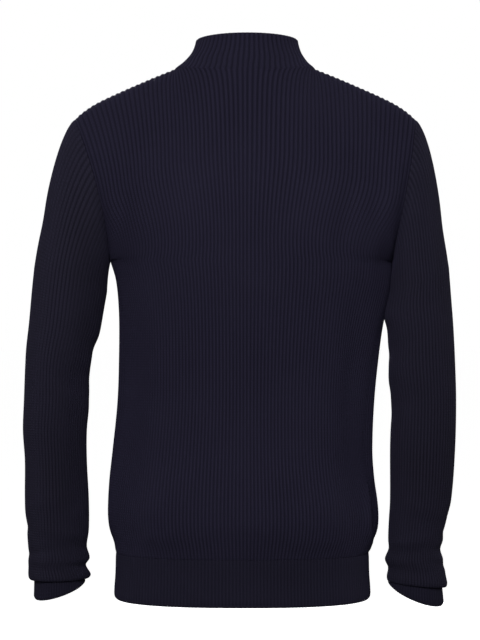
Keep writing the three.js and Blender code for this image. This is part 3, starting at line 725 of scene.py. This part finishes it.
def arm_ring(row, hand, angle):
    """Rings of a sleeve or a cuff; angle 0 is the side towards the body."""
    s, c = np.sin(angle), np.cos(angle)
    side = SIDE[hand]
    at = points(side * (row["x"] - row["width"] * c), row["y"] + row["depth"] * s,
                row["height"] - row["tilt"] * c - row.get("hang", 0) * s)
    return at, unit(points(-side * c / row["width"], s / row["depth"], 0))


def cap(hand, angle, share):
    """The sleeve's cap runs from the ring under the armpit to the armhole's seam."""
    start, start_out = arm_ring(SLEEVE[hand](SLEEVE[hand].rows[-1, 0]), hand, angle)
    finish, finish_out = armhole(hand, angle)
    finish = finish + points(SIDE[hand] * SEAM, 0, 0)
    rise = ((1 - np.cos(angle)) / 2)[..., None]
    reach = np.linalg.norm(start - finish, axis=-1, keepdims=True)
    inwards = -SIDE[hand]
    leave = np.concatenate([inwards * lerp(0.05, 0.15, rise), rise * 0, rise * 0 + 1], -1)
    leave = leave * reach * lerp(1.15, 0.94, rise)
    arrive = unit(np.concatenate([inwards * lerp(0.25, 0.75, rise), rise * 0, lerp(1, 0.66, rise)], -1))
    arrive = arrive * reach * lerp(0.9, 0.52, rise)
    t, t2, t3 = share, share ** 2, share ** 3
    at = (start * (2 * t3 - 3 * t2 + 1) + finish * (3 * t2 - 2 * t3)
          + leave * (t3 - 2 * t2 + t) + arrive * (t3 - t2))
    return at, unit(lerp(start_out, finish_out, smoothstep(share, 0, 1)))


def sleeve(hand):
    count = SLEEVE_RIBS * RIB_COLUMNS
    angle = np.arange(count) / count * 2 * math.pi
    last = SLEEVE[hand].rows[-1, 0]
    alongs = np.concatenate([np.linspace(0, 80, 44)[:-1], np.linspace(80, last, 68)])
    shares = rows_between(0, 1, 40, fine_end=True)[1:]
    rings = [arm_ring(SLEEVE[hand](along), hand, angle) for along in alongs]
    rings += [cap(hand, angle, share) for share in shares]
    at = np.array([ring[0] for ring in rings])
    out = np.array([ring[1] for ring in rings])
    at[0, :, 2] += SEAM
    length = way_up(at)
    ends = smoothstep(length, 3, 14) * smoothstep(length[-1] - length, 4, 30)
    at = at + out * (sleeve_lift(hand, angle, at[..., 2]) * ends[:, None])[..., None]
    sink = armhole_sink(hand, 1 + np.minimum(angle, 2 * math.pi - angle) / math.pi)
    near = np.exp(-((length[-1] - length) / CREASE_REACH) ** 2)
    at = at - out * (near[:, None] * sink[None])[..., None]
    turns = np.repeat((np.arange(count + 1) / RIB_COLUMNS)[None], len(at), 0)
    course = np.repeat(length[:, None] / COURSE, count + 1, 1)
    fade = smoothstep(length, 0, 4) * smoothstep(length[-1] - length, 0, 5)
    drop = rib_drop(turns[:, :-1], RIB) * lerp(0.35, 1, fade)[:, None] + 0.9 * RIB * (1 - fade)[:, None]
    if hand == "left":
        at, out, drop = at[:, ::-1], out[:, ::-1], drop[:, ::-1]
    return shell(f"sleeve_{hand}", at, out, drop, turns, course, WALL + RIB, wraps=True)


def cuff(hand):
    count = SLEEVE_RIBS * RIB_COLUMNS
    angle = np.arange(count) / count * 2 * math.pi
    alongs = np.concatenate([[0, 0.02, 0.05], np.linspace(0.1, 1, 16)])
    rings = [arm_ring(CUFF[hand](a), hand, angle) for a in alongs]
    at = np.array([ring[0] for ring in rings])
    out = np.array([ring[1] for ring in rings])
    length = way_up(at)
    turns = np.repeat((np.arange(count + 1) / RIB_COLUMNS)[None], len(at), 0)
    course = np.repeat(length[:, None] / COURSE, count + 1, 1)
    roll = 1.5 * (1 - smoothstep(length, 0, 2.2))
    drop = rib_drop(turns[:, :-1], 1.0) + roll[:, None]
    if hand == "left":
        at, out, drop = at[:, ::-1], out[:, ::-1], drop[:, ::-1]
    return shell(f"cuff_{hand}", at, out, drop, turns, course, WALL + 1.0, wraps=True)


def hem_band():
    """The band round the hem: a tube that continues the body's lowest section."""
    quarter = HALF_RIBS * RIB_COLUMNS
    share = np.arange(quarter) / quarter
    around = np.concatenate([
        walk(section("front", "left", 0), share)[0],
        walk(section("back", "left", 0), 1 - share)[0],
        walk(section("back", "right", 0), share)[0],
        walk(section("front", "right", 0), 1 - share)[0],
    ])
    levels = np.concatenate([[0, 0.012, 0.03], np.linspace(0.06, 0.97, 16), [0.985, 1]])
    at = np.repeat(around[None], len(levels), 0)
    at[..., 2] = lerp(HEM_EDGE, HEM_SEAM - SEAM / 2, levels)[:, None]
    out = unit(grid_normal(at, True) * np.array([1.0, 1.0, 0.0]))
    edge = HEM_EDGE + HEM_SIDE_RISE * (1 - np.abs(out[0, :, 1]) ** 0.7)
    at[..., 2] = lerp(edge[None], HEM_SEAM - SEAM / 2, levels[:, None])
    at = at + out * HEM(levels)["out"][:, None, None]
    turns = np.repeat((np.arange(4 * quarter + 1) / RIB_COLUMNS)[None], len(at), 0)
    up = (at[:, 0, 2] - at[0, 0, 2])
    course = np.repeat(up[:, None] / COURSE, 4 * quarter + 1, 1)
    roll = 1.6 * (1 - smoothstep(up, 0, 2.4)) + 0.3 * (1 - smoothstep(up[-1] - up, 0, 4))
    drop = rib_drop(turns[:, :-1], 1.0) + roll[:, None]
    return shell("hem_band", at, out, drop, turns, course, 3.9, wraps=True)


def collar_line(rise, hand):
    """A ring of the collar from the back's middle to the front's, with its directions."""
    angle = np.linspace(0, math.pi, 240)
    at = neck_ring(COLLAR(rise), hand, angle)
    seam = neck_seam(hand, angle)[1]
    level = points(SIDE[hand] * np.sin(angle), np.cos(angle), 0)
    return np.hstack([at, lerp(level, seam, (1 - rise) ** 2)])


def neck_phase(hand, back, front):
    """Ribs of half the collar, counted so that they go on from those of the back and front."""
    behind, before = (
        column_share(walk(section(face, hand, 2), 0.0)[1], columns) * SHOULDER_RIBS
        for face, columns in (("back", back), ("front", front))
    )
    return np.concatenate([behind, np.round(behind[-1] + before[0]) - before])


def collar():
    """The stand collar: open in front for the zip, from its left edge round to its right."""
    back = COLUMN[COLUMN <= NECK_SHARE + 1e-9]
    front = COLUMN[(COLUMN >= SLOT_SHARE) & (COLUMN < NECK_SHARE - 1e-9)][::-1]
    total = len(back) + len(front) - 1
    spare = total % INNER_STEP
    front = np.delete(front, np.arange(1, 1 + spare))
    total -= spare
    rises = np.concatenate([[0, 0.015, 0.04, 0.07], np.linspace(0.1, 0.94, 34), [0.96, 0.98, 0.993, 1]])
    halves = {}
    for hand in SIDE:
        seat = np.concatenate([top_edge("back", hand, back)[0], top_edge("front", hand, front)[0]])
        seat_out = np.concatenate([top_edge("back", hand, back)[1], top_edge("front", hand, front)[1]])
        base = collar_line(0.0, hand)
        spread = np.arange(total + 1) / total

        def place(line):
            length = walk(line, 0.0)[1]
            return walk(line, spread * (1 - SLOT / length))[0]

        at, out = [], []
        for rise in rises:
            found = place(collar_line(rise, hand))
            seated = (1 - float(smoothstep(rise, 0, 0.45))) ** 2
            spots = found[:, :3] + (seat - place(base)[:, :3]) * seated
            away = unit(found[:, 3:])
            if rise == 0:
                lifted = unit(seat_out * np.array([-1.0, -1.0, 0.0]) + np.array([0, 0, 1.0]))
                spots = spots + lifted * SEAM * 1.3
                away = seat_out
            spots[-1, 0] = SIDE[hand] * SLOT
            at.append(spots)
            out.append(away)
        halves[hand] = np.array(at), np.array(out)
    at = np.concatenate([halves["left"][0][:, ::-1], halves["right"][0][:, 1:]], 1)
    out = np.concatenate([halves["left"][1][:, ::-1], halves["right"][1][:, 1:]], 1)
    ribs = {hand: neck_phase(hand, back, front) for hand in SIDE}
    phase = np.concatenate([-ribs["left"][::-1], ribs["right"][1:]])
    phase = np.repeat(phase[None], len(rises), 0)
    up = way_up(at)
    course = np.repeat(up[:, None] / COURSE, at.shape[1], 1)
    roll = 1.9 * (1 - smoothstep(up[-1] - up, 0, 3.2)) + 0.3 * (1 - smoothstep(up, 0, 3))
    drop = rib_drop(phase, 1.1) + roll[:, None]
    SURFACES["collar"] = at, out
    return shell("collar", at, out, drop, phase, course, 4.1)


# Zip


def zip_line():
    """Places up the centre of the front and of the collar, with their distances."""
    marks = [centre_line("front", level) for level in np.linspace(ZIP_LEVEL, 2, 11)]
    for rise in (0.2, 0.4, 0.6, 0.8, 1):
        mark = walk(collar_line(rise, "left"), 1.0)[0][:3]
        mark[0] = 0
        marks.append(mark)
    marks = np.array(marks)
    steps = np.concatenate([[0], np.cumsum(np.linalg.norm(np.diff(marks, axis=0), axis=1))])
    curve = Curve("distance x y z", np.column_stack([steps, marks]))
    dense = curve(np.linspace(0, steps[-1], 600))
    return points(dense["x"], dense["y"], dense["z"])


def zip_frame(distance):
    """Place on the zip, the way up it and the way out of the cloth."""
    line = zip_line()
    tangent = unit(np.gradient(line, axis=0))
    found, length = walk(np.hstack([line, tangent]), np.asarray(distance) / ZIP_LENGTH)
    along = unit(found[..., 3:])
    out = np.stack([along[..., 0] * 0, -along[..., 2], along[..., 1]], -1)
    return found[..., :3], along, unit(out)


ZIP_LENGTH = walk(zip_line(), 0.0)[1]
STOP_AT = 1.6
TEETH_FROM = 3.4
SLIDER_AT = ZIP_LENGTH - 9.5
CHAIN_SUNK = 0.8
TOOTH_PITCH = 1.35


def blob(sides=8, rings=5, square=0.55):
    """Vertices and quads of a rounded block, one unit to each side of its middle."""
    vertices, quads = [], []
    for ring in range(rings + 1):
        tip = math.pi * (ring / rings - 0.5) * 0.94
        for side in range(sides):
            turn = side / sides * 2 * math.pi
            x, y, z = math.cos(tip) * math.cos(turn), math.cos(tip) * math.sin(turn), math.sin(tip)
            vertices.append([math.copysign(abs(v) ** square, v) for v in (x, y, z)])
    for ring in range(rings):
        for side in range(sides):
            a, b = ring * sides + side, ring * sides + (side + 1) % sides
            quads.append([a, b, b + sides, a + sides])
    caps = [list(range(sides))[::-1], [rings * sides + side for side in range(sides)]]
    return np.array(vertices), quads, caps


def repeat_blob(name, frames, sizes, **shape):
    """One mesh of a rounded block at each frame: middle, right, out and up directions."""
    vertices, quads, caps = blob(**shape)
    places, faces = [], []
    for n, (middle, right, out, up) in enumerate(frames):
        axes = np.array([right, out, up])
        places.append(middle + (vertices * np.array(sizes)) @ axes)
        faces += [[corner + n * len(vertices) for corner in face] for face in quads + caps]
    return simple_mesh(name, np.concatenate(places), faces)


def simple_mesh(name, vertices, faces):
    mesh = bpy.data.meshes.new(name)
    mesh.from_pydata((np.asarray(vertices) * MM).tolist(), [], faces)
    mesh.polygons.foreach_set("use_smooth", np.ones(len(mesh.polygons), bool))
    mesh.validate()
    piece = bpy.data.objects.new(f"{name}_detail", mesh)
    bpy.context.collection.objects.link(piece)
    return piece


def teeth():
    """A closed coil: rounded loops that reach past the middle from each side in turn."""
    count = int((SLIDER_AT + 3 - TEETH_FROM) / TOOTH_PITCH)
    frames = []
    for n in range(2 * count):
        side = 1 if n % 2 else -1
        at, along, out = zip_frame(TEETH_FROM + (n + 0.5) * TOOTH_PITCH / 2)
        lean = unit(along + np.array([0.1 * side, 0.0, 0.0]))
        right = unit(np.cross(lean, out))
        middle = at - out * (CHAIN_SUNK + CHAIN_THICK / 2) + np.array([1.05 * side, 0, 0])
        frames.append((middle, right, out, lean))
    return repeat_blob("zip_chain", frames, (1.6, 1.15, 0.56), sides=8, rings=4)


def tape(hand):
    """A woven strip beside the teeth, from the bottom stop to the collar's edge."""
    distance = np.linspace(0.4, ZIP_LENGTH - 1.2, 120)
    at, along, out = zip_frame(distance)
    across = np.array([2.2, 2.5, 3.3, 4.2, 5.2, 6.0, 6.25])
    bow = np.array([0.25, 0.0, 0.0, 0.0, 0.0, 0.05, 0.3])
    sheets = []
    for depth, sign in ((CHAIN_SUNK + 0.75, 1), (CHAIN_SUNK + 1.75, -1)):
        sheet = np.repeat((at - out * depth)[:, None], len(across), 1)
        sheet[..., 0] = SIDE[hand] * across
        sheets.append(sheet - out[:, None] * (bow * sign)[None, :, None])
    rows, columns = len(distance), len(across)
    loop = np.concatenate([sheets[0], sheets[1][:, ::-1]], 1)
    ring = 2 * columns
    faces = []
    for i in range(rows - 1):
        for j in range(ring):
            a, b = i * ring + j, i * ring + (j + 1) % ring
            face = [a, b, b + ring, a + ring]
            faces.append(face if hand == "left" else face[::-1])
    ends = [list(range(ring))[::-1], [(rows - 1) * ring + j for j in range(ring)]]
    faces += ends if hand == "left" else [end[::-1] for end in ends]
    return simple_mesh(f"zip_tape_{hand}", loop.reshape(-1, 3), faces)


# The slider's own sizes; in its frame z runs up the zip and -y faces out
SLIDER_PLATE = 1.3
SLIDER_GAP = CHAIN_THICK + 3 * SEAM
FRONT_FACE = -(SLIDER_GAP / 2 + SLIDER_PLATE)
PULL_Y = FRONT_FACE - 1.55
PULL_Z = 0.6
PULL_WIDTH = 7.4
PULL_THICK = 1.2
PULL_LENGTH = 27
PULL_BAR = 1.2


def outline(corners, radius, steps=5):
    """A closed outline with its corners rounded."""
    corners = np.array(corners, float)
    t = np.linspace(0, 1, steps)[:, None]
    parts = []
    for n, corner in enumerate(corners):
        start = corner + unit(corners[n - 1] - corner) * radius
        finish = corner + unit(corners[(n + 1) % len(corners)] - corner) * radius
        parts.append(start * (1 - t) ** 2 + corner * 2 * t * (1 - t) + finish * t ** 2)
    return np.concatenate(parts)


def plate(outlines, thick, y, bevel=0.22):
    """Vertices and faces of a flat plate with rounded edges, facing along the frame's y."""
    curve = bpy.data.curves.new("plate", "CURVE")
    curve.dimensions = "2D"
    curve.fill_mode = "BOTH"
    curve.extrude = thick / 2 - bevel
    curve.bevel_depth = bevel
    curve.bevel_resolution = 2
    curve.offset = -bevel
    for line in outlines:
        spline = curve.splines.new("POLY")
        spline.points.add(len(line) - 1)
        spline.points.foreach_set("co", np.column_stack([line, line[:, 0] * 0, line[:, 0] * 0 + 1]).ravel())
        spline.use_cyclic_u = True
    holder = bpy.data.objects.new("plate", curve)
    bpy.context.collection.objects.link(holder)
    mesh = bpy.data.meshes.new_from_object(holder.evaluated_get(bpy.context.evaluated_depsgraph_get()))
    bpy.data.objects.remove(holder)
    work = bmesh.new()
    work.from_mesh(mesh)
    bmesh.ops.remove_doubles(work, verts=work.verts, dist=0.001)
    vertices = np.array([[v.co.x, y - v.co.z, v.co.y] for v in work.verts])
    faces = [[v.index for v in face.verts] for face in work.faces]
    work.free()
    return vertices, faces


def arch(middles, across, half_width, half_thick, sides=12):
    """A rounded bar along a line of middles, with the direction across it at each."""
    turn = np.arange(sides) / sides * 2 * math.pi
    wide = half_width * np.sign(np.cos(turn)) * np.abs(np.cos(turn)) ** 0.4
    high = half_thick * np.sign(np.sin(turn)) * np.abs(np.sin(turn)) ** 0.4
    rings = middles[:, None] + across[:, None] * high[None, :, None]
    rings = rings + points(wide, wide * 0, wide * 0)[None]
    faces = []
    for i in range(len(middles) - 1):
        for j in range(sides):
            a, b = i * sides + j, i * sides + (j + 1) % sides
            faces.append([a, b, b + sides, a + sides])
    faces += [list(range(sides))[::-1], [(len(middles) - 1) * sides + j for j in range(sides)]]
    return rings.reshape(-1, 3), faces


def on_zip(name, parts, distance):
    """One mesh of parts that are made in the slider's frame, set on the zip."""
    at, along, out = zip_frame(distance)
    middle = at - out * (CHAIN_SUNK + CHAIN_THICK / 2)
    vertices, faces, count = [], [], 0
    for places, corners in parts:
        vertices.append(middle + places @ np.array([[1.0, 0, 0], -out, along]))
        faces += [[corner + count for corner in face] for face in corners]
        count += len(places)
    piece = simple_mesh(name, np.concatenate(vertices), faces)
    work = bmesh.new()
    work.from_mesh(piece.data)
    bmesh.ops.recalc_face_normals(work, faces=work.faces)
    work.to_mesh(piece.data)
    work.free()
    piece.data.set_sharp_from_angle(angle=math.radians(40))
    return piece


def slider():
    shape = outline([
        (-3.5, 5), (3.5, 5), (4.5, 3), (4.5, 0.5), (3.5, -5), (-3.5, -5), (-4.5, 0.5), (-4.5, 3),
    ], 0.9)
    plate_y = (SLIDER_GAP + SLIDER_PLATE) / 2
    post = outline([(-2, 5), (2, 5), (1.2, 1.8), (-1.2, 1.8)], 0.5)
    turn = np.linspace(0.04, math.pi - 0.04, 24)
    rise = 2.2 * np.sign(np.cos(turn)) * np.abs(np.cos(turn)) ** 0.6
    reach = 3.2 * np.abs(np.sin(turn)) ** 0.6
    middles = points(turn * 0, FRONT_FACE + 0.4 - reach, PULL_Z + rise)
    tangent = unit(np.gradient(middles, axis=0))
    across = np.stack([turn * 0, -tangent[:, 2], tangent[:, 1]], -1)
    return on_zip("zip_slider", [
        plate([shape], SLIDER_PLATE, -plate_y), plate([shape], SLIDER_PLATE, plate_y),
        plate([post], SLIDER_GAP + 0.4, 0, 0.1), arch(middles, across, 1.0, 0.5),
    ], SLIDER_AT)


def pull():
    half, top = PULL_WIDTH / 2, PULL_BAR / 2
    bottom = top - PULL_LENGTH
    edge = outline([
        (-half + 0.5, top), (half - 0.5, top), (half, -8), (half, bottom), (-half, bottom), (-half, -8),
    ], 0.5)
    low = edge[:, 1] < -12
    soft = outline([(half, -12), (half, bottom), (-half, bottom), (-half, -12)], 1.6, 7)[7:21]
    edge = np.concatenate([edge[:15], soft, edge[~low][15:]])
    window = outline([(-1.5, -top), (1.5, -top), (1.5, -top - 3.6), (-1.5, -top - 3.6)], 0.3)
    pad = outline([(-2.4, -8.5), (2.4, -8.5), (2.4, -24.4), (-2.4, -24.4)], 1.2)
    parts = [plate([edge, window], PULL_THICK, 0, 0.25), plate([pad], PULL_THICK + 0.44, 0, 0.3)]
    hung = [(places + points(0, PULL_Y, PULL_Z), faces) for places, faces in parts]
    return on_zip("zip_pull", hung, SLIDER_AT)


def bottom_stop():
    middles = points(np.zeros(5), np.zeros(5), np.linspace(-1.1, 1.1, 5))
    across = np.repeat([[0.0, 1.0, 0.0]], 5, 0)
    return on_zip("zip_bottom_stop", [arch(middles, across, 2.7, 1.5)], STOP_AT)


def stitches(name, lines, pitch=3.4, size=(0.28, 0.28, 1.25)):
    """Sewn stitches that lie along lines of places and directions."""
    frames = []
    for at, out in lines:
        length = walk(at, 0.0)[1]
        count = int(length / pitch)
        shares = (np.arange(count) + 0.5) / count
        found = walk(np.hstack([at, out]), shares)[0]
        ahead = walk(at, shares + 0.004)[0] - walk(at, shares - 0.004)[0]
        for place, way in zip(found, unit(ahead)):
            outward = unit(place[3:])
            frames.append((place[:3] - outward * 0.15, unit(np.cross(way, outward)), outward, way))
    return repeat_blob(name, frames, size, sides=6, rings=4, square=0.8)


def zip_seam(surface, away):
    """Lines beside the zip on a surface, one for each side."""
    at, out = SURFACES[surface]
    middle = at.shape[1] // 2
    lines = []
    for sign in (-1, 1):
        if surface == "front":
            rows = LEVELS >= ZIP_LEVEL - 1e-6
            columns = range(middle, at.shape[1]) if sign > 0 else range(middle, -1, -1)
        else:
            rows = np.ones(len(at), bool)
            rows[-4:] = False
            columns = range(0, middle // 2) if sign > 0 else range(at.shape[1] - 1, middle + middle // 2, -1)
        columns = list(columns)
        x = np.abs(at[rows][:, columns, 0])
        pick = np.argmin(np.abs(x - away), 1)
        chosen = at[rows][:, columns]
        ways = out[rows][:, columns]
        line = chosen[np.arange(len(pick)), pick]
        line[:, 0] = sign * away
        lines.append((line, ways[np.arange(len(pick)), pick]))
    return lines


# Materials


class Nodes:
    """Short ways to make a material's nodes."""

    def __init__(self, name):
        self.material = bpy.data.materials.new(name)
        self.material.use_nodes = True
        self.tree = self.material.node_tree
        self.shader = self.tree.nodes["Principled BSDF"]

    def link(self, value, socket):
        if isinstance(value, bpy.types.NodeSocket):
            self.tree.links.new(value, socket)
        else:
            socket.default_value = value

    def node(self, kind, output, inputs=(), **settings):
        made = self.tree.nodes.new(kind)
        for name, value in settings.items():
            setattr(made, name, value)
        for key, value in dict(inputs).items():
            self.link(value, made.inputs[key])
        return made.outputs[output]

    def math(self, operation, *values):
        return self.node("ShaderNodeMath", 0, enumerate(values), operation=operation)

    def mix(self, share, first, second):
        return self.node("ShaderNodeMix", 2, {0: share, 6: first, 7: second}, data_type="RGBA")

    def noise(self, scale, detail=3.0, **more):
        inputs = {"Vector": self.place(), "Scale": scale, "Detail": detail, **more}
        return self.node("ShaderNodeTexNoise", 0, inputs)

    def place(self):
        return self.node("ShaderNodeTexCoord", "Object")

    def bump(self, height, strength, distance, normal=None):
        inputs = {"Height": height, "Strength": strength, "Distance": distance}
        if normal is not None:
            inputs["Normal"] = normal
        return self.node("ShaderNodeBump", 0, inputs)

    def finish(self, **sockets):
        for name, value in sockets.items():
            self.link(value, self.shader.inputs[name.replace("_", " ")])
        return self.material


def knit_material(name, crest, groove_shade, stitch=1.0):
    """Rib knit: a column of V stitches on each rib; the darker colour in the grooves beside each rib and
    between the stitches is painted shade.
    """
    m = Nodes(name)
    knit = m.node("ShaderNodeUVMap", 0, uv_map="knit")
    split = m.tree.nodes.new("ShaderNodeSeparateXYZ")
    m.link(knit, split.inputs[0])
    rib, course = split.outputs[0], split.outputs[1]
    off = m.math("ABSOLUTE", m.math("SUBTRACT", m.math("FRACT", m.math("ADD", rib, 0.5)), 0.5))
    slanted = m.math("ADD", course, m.math("MULTIPLY", off, 1.5))
    wave = m.math("SINE", m.math("MULTIPLY", slanted, 2 * math.pi))
    leg = m.math("SUBTRACT", 1.0, m.math("ABSOLUTE", m.math("SUBTRACT", m.math("MULTIPLY", off, 5.0), 1.0)))
    loop = m.math("MULTIPLY", m.math("MAXIMUM", leg, 0.0), m.math("MULTIPLY_ADD", wave, 0.5, 0.5))
    fuzz = m.noise(1700.0, 4.0)
    height = m.math("ADD", m.math("MULTIPLY", loop, 0.8), m.math("MULTIPLY", fuzz, 0.5))
    # Painted shade: the colour darkens from the crest colour towards the hollow between ribs.
    depth = m.node("ShaderNodeMapRange", 0, {0: off, 1: 0.16, 2: 0.5, 3: 0.0, 4: 1.0})
    # Painted shade: darker between the stitch loops of one course and the next.
    between = m.math("MULTIPLY_ADD", wave, -0.5, 0.5)
    shade = m.mix(m.math("MULTIPLY", between, 0.42 * stitch), m.mix(depth, crest, groove_shade), groove_shade)
    patch = m.node("ShaderNodeMapRange", 0, {0: m.noise(9.0, 2.0), 1: 0.3, 2: 0.7, 3: 0.0, 4: 1.0})
    faded = m.mix(m.math("MULTIPLY", patch, 0.25), shade, (0.0152, 0.0138, 0.0262, 1))
    return m.finish(
        Base_Color=faded, Roughness=0.92, Normal=m.bump(height, 0.6 * stitch, 0.0009),
        Sheen_Weight=0.03, Sheen_Roughness=0.5, Sheen_Tint=(0.55, 0.5, 1.0, 1), Specular_IOR_Level=0.04,
    )


def tape_material():
    """Close herringbone weave."""
    m = Nodes("zip_tape_weave")
    split = m.tree.nodes.new("ShaderNodeSeparateXYZ")
    m.link(m.place(), split.inputs[0])
    side = m.math("PINGPONG", m.math("MULTIPLY", split.outputs[0], 1 / MM), 0.8)
    zigzag = m.math("ADD", m.math("MULTIPLY", split.outputs[2], 1 / MM), side)
    wave = m.math("SINE", m.math("MULTIPLY", zigzag, 9.0))
    height = m.math("ADD", m.math("MULTIPLY", wave, 0.5), m.math("MULTIPLY", m.noise(2500.0), 0.4))
    shade = m.mix(m.math("MULTIPLY_ADD", wave, 0.5, 0.5), (0.004, 0.004, 0.007, 1), (0.009, 0.009, 0.015, 1))
    return m.finish(Base_Color=shade, Roughness=0.8, Specular_IOR_Level=0.2, Normal=m.bump(height, 0.5, 0.0002))


def teeth_material():
    m = Nodes("zip_teeth_coil")
    worn = m.node("ShaderNodeMapRange", 0, {0: m.noise(900.0), 1: 0.35, 2: 0.7, 3: 0.32, 4: 0.5})
    shade = m.mix(m.noise(300.0), (0.008, 0.008, 0.011, 1), (0.016, 0.016, 0.02, 1))
    return m.finish(Base_Color=shade, Roughness=worn, Normal=m.bump(m.noise(1500.0), 0.1, 0.0001))


def metal_material():
    m = Nodes("zip_dark_metal")
    brushed = m.node("ShaderNodeMapRange", 0, {0: m.noise(1200.0, 5.0), 1: 0.3, 2: 0.7, 3: 0.3, 4: 0.38})
    shade = m.mix(m.noise(160.0), (0.10, 0.10, 0.108, 1), (0.12, 0.12, 0.128, 1))
    grain = m.bump(m.noise(2600.0), 0.06, 0.0001)
    return m.finish(Base_Color=shade, Metallic=1.0, Roughness=brushed, Normal=grain)


def thread_material():
    m = Nodes("navy_thread")
    shade = m.mix(m.noise(1400.0), (0.007, 0.006, 0.013, 1), (0.014, 0.013, 0.024, 1))
    twist = m.bump(m.noise(3000.0), 0.3, 0.0001)
    return m.finish(Base_Color=shade, Roughness=0.6, Specular_IOR_Level=0.2, Normal=twist)


# Painted shade: the second colour is a darker copy of the crest colour, for the hollows between ribs and
# between stitches.
CREST = (0.0133, 0.0119, 0.0238, 1)
GROOVE_PAINTED_SHADE = (0.0048, 0.0043, 0.0088, 1)
KNIT = knit_material("navy_rib_knit", CREST, GROOVE_PAINTED_SHADE)
# Painted shade: the sleeves get a less blue copy of the knit, standing in for the greyer look of their less lit
# cloth.
SLEEVE_KNIT_PAINTED_SHADE = knit_material("navy_sleeve_knit_painted_shade", (0.0131, 0.0119, 0.0206, 1), (0.0047, 0.0043, 0.0077, 1))
# The hem band and cuffs get a finer rib with less stitch contrast; its darker crest colour is painted shade for
# the garment's lowest parts.
FINE_KNIT_PAINTED_SHADE = knit_material("navy_fine_rib_knit_painted_shade", (0.0094, 0.0086, 0.0160, 1), (0.0052, 0.0048, 0.0090, 1), 0.8)


def dress(piece, material, node, body="sweater"):
    """Gives a piece its material and puts it in the place of its solid."""
    piece.data.materials.append(material)
    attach(piece, body)
    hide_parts(node)
    return piece


pieces = {
    "back": dress(panel("back"), KNIT, "back"),
    "front": dress(panel("front"), KNIT, "front"),
    "collar": dress(collar(), KNIT, "collar"),
    "hem_band": dress(hem_band(), FINE_KNIT_PAINTED_SHADE, "hem_band"),
}
for hand in SIDE:
    pieces[f"sleeve_{hand}"] = dress(sleeve(hand), SLEEVE_KNIT_PAINTED_SHADE, f"sleeve_{hand}")
    pieces[f"cuff_{hand}"] = dress(cuff(hand), FINE_KNIT_PAINTED_SHADE, f"cuff_{hand}")

TAPE_CLOTH = tape_material()
TEETH = teeth_material()
METAL = metal_material()
THREAD = thread_material()
for hand in SIDE:
    dress(tape(hand), TAPE_CLOTH, f"zip_tape_{hand}")
dress(teeth(), TEETH, "zip_chain")
thread = stitches("zip_stitches", zip_seam("front", 9.6) + zip_seam("collar", 9.6))
thread.data.materials.append(THREAD)
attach(thread, "sweater")
dress(slider(), METAL, "zip_slider")
dress(pull(), METAL, "zip_pull", "pull")
dress(bottom_stop(), METAL, "zip_bottom_stop")


# Studio


def floor_material():
    m = Nodes("pale_floor")
    white = (1, 1, 1, 1)
    return m.finish(Base_Color=(0.9, 0.9, 0.9, 1), Roughness=0.9, Emission_Color=white, Emission_Strength=0.85)


def floor():
    size, height = 60.0, HEM_EDGE * MM - 0.45
    corners = [(-size, -size, height), (size, -size, height), (size, size, height), (-size, size, height)]
    mesh = bpy.data.meshes.new("floor")
    mesh.from_pydata(corners, [], [(0, 1, 2, 3)])
    made = bpy.data.objects.new("floor", mesh)
    mesh.materials.append(floor_material())
    made.visible_diffuse = False
    made.visible_glossy = False
    bpy.context.collection.objects.link(made)


def look_at(thing, place, target):
    thing.location = place
    thing.rotation_euler = (Vector(target) - Vector(place)).to_track_quat("-Z", "Y").to_euler()


def light(name, place, target, size, power, color=(1, 1, 1)):
    lamp = bpy.data.lights.new(name, "AREA")
    lamp.shape = "RECTANGLE"
    lamp.size, lamp.size_y = size
    lamp.energy = power
    lamp.color = color
    made = bpy.data.objects.new(name, lamp)
    bpy.context.collection.objects.link(made)
    look_at(made, place, target)


def camera():
    """Level with the middle of the photo, three metres behind the garment."""
    distance = 3.0
    frame_height = 640 * PHOTO_SCALE * MM
    middle = Vector(((245 - 240) * PHOTO_SCALE * MM, distance, (74 - 320) * PHOTO_SCALE * MM))
    lens = bpy.data.cameras.new("camera")
    lens.sensor_fit = "VERTICAL"
    lens.sensor_height = 36.0
    lens.lens = lens.sensor_height * distance / frame_height
    made = bpy.data.objects.new("camera", lens)
    bpy.context.collection.objects.link(made)
    look_at(made, middle, (middle.x, 0, middle.z))
    bpy.context.scene.camera = made


def world():
    studio = bpy.data.worlds.new("studio")
    studio.use_nodes = True
    tree = studio.node_tree
    seen = tree.nodes.new("ShaderNodeLightPath").outputs["Is Camera Ray"]
    strength = tree.nodes.new("ShaderNodeMapRange")
    strength.inputs["To Min"].default_value = 0.16
    strength.inputs["To Max"].default_value = 1.0
    tree.links.new(seen, strength.inputs["Value"])
    tree.links.new(strength.outputs[0], tree.nodes["Background"].inputs["Strength"])
    tree.nodes["Background"].inputs["Color"].default_value = (1, 1, 1, 1)
    bpy.context.scene.world = studio


floor()
camera()
world()
light("key", (0.15, 2.3, 0.35), (0, 0, -0.3), (0.9, 0.9), 66, (0.97, 0.97, 1))
light("front_key", (0.5, -3.2, 0.6), (0, 0, -0.3), (1.0, 1.0), 128, (0.97, 0.97, 1))
light("side_right", (-2.8, -1.3, -0.2), (-0.1, 0, -0.4), (0.6, 1.6), 28, (1, 0.98, 0.92))
light("side_left", (2.8, -1.3, -0.2), (0.1, 0, -0.4), (0.6, 1.6), 16, (1, 0.98, 0.92))
light("top", (0, 0, 3.0), (0, 0, 0), (1.2, 1.2), 9)
bpy.context.scene.view_settings.view_transform = "Standard"
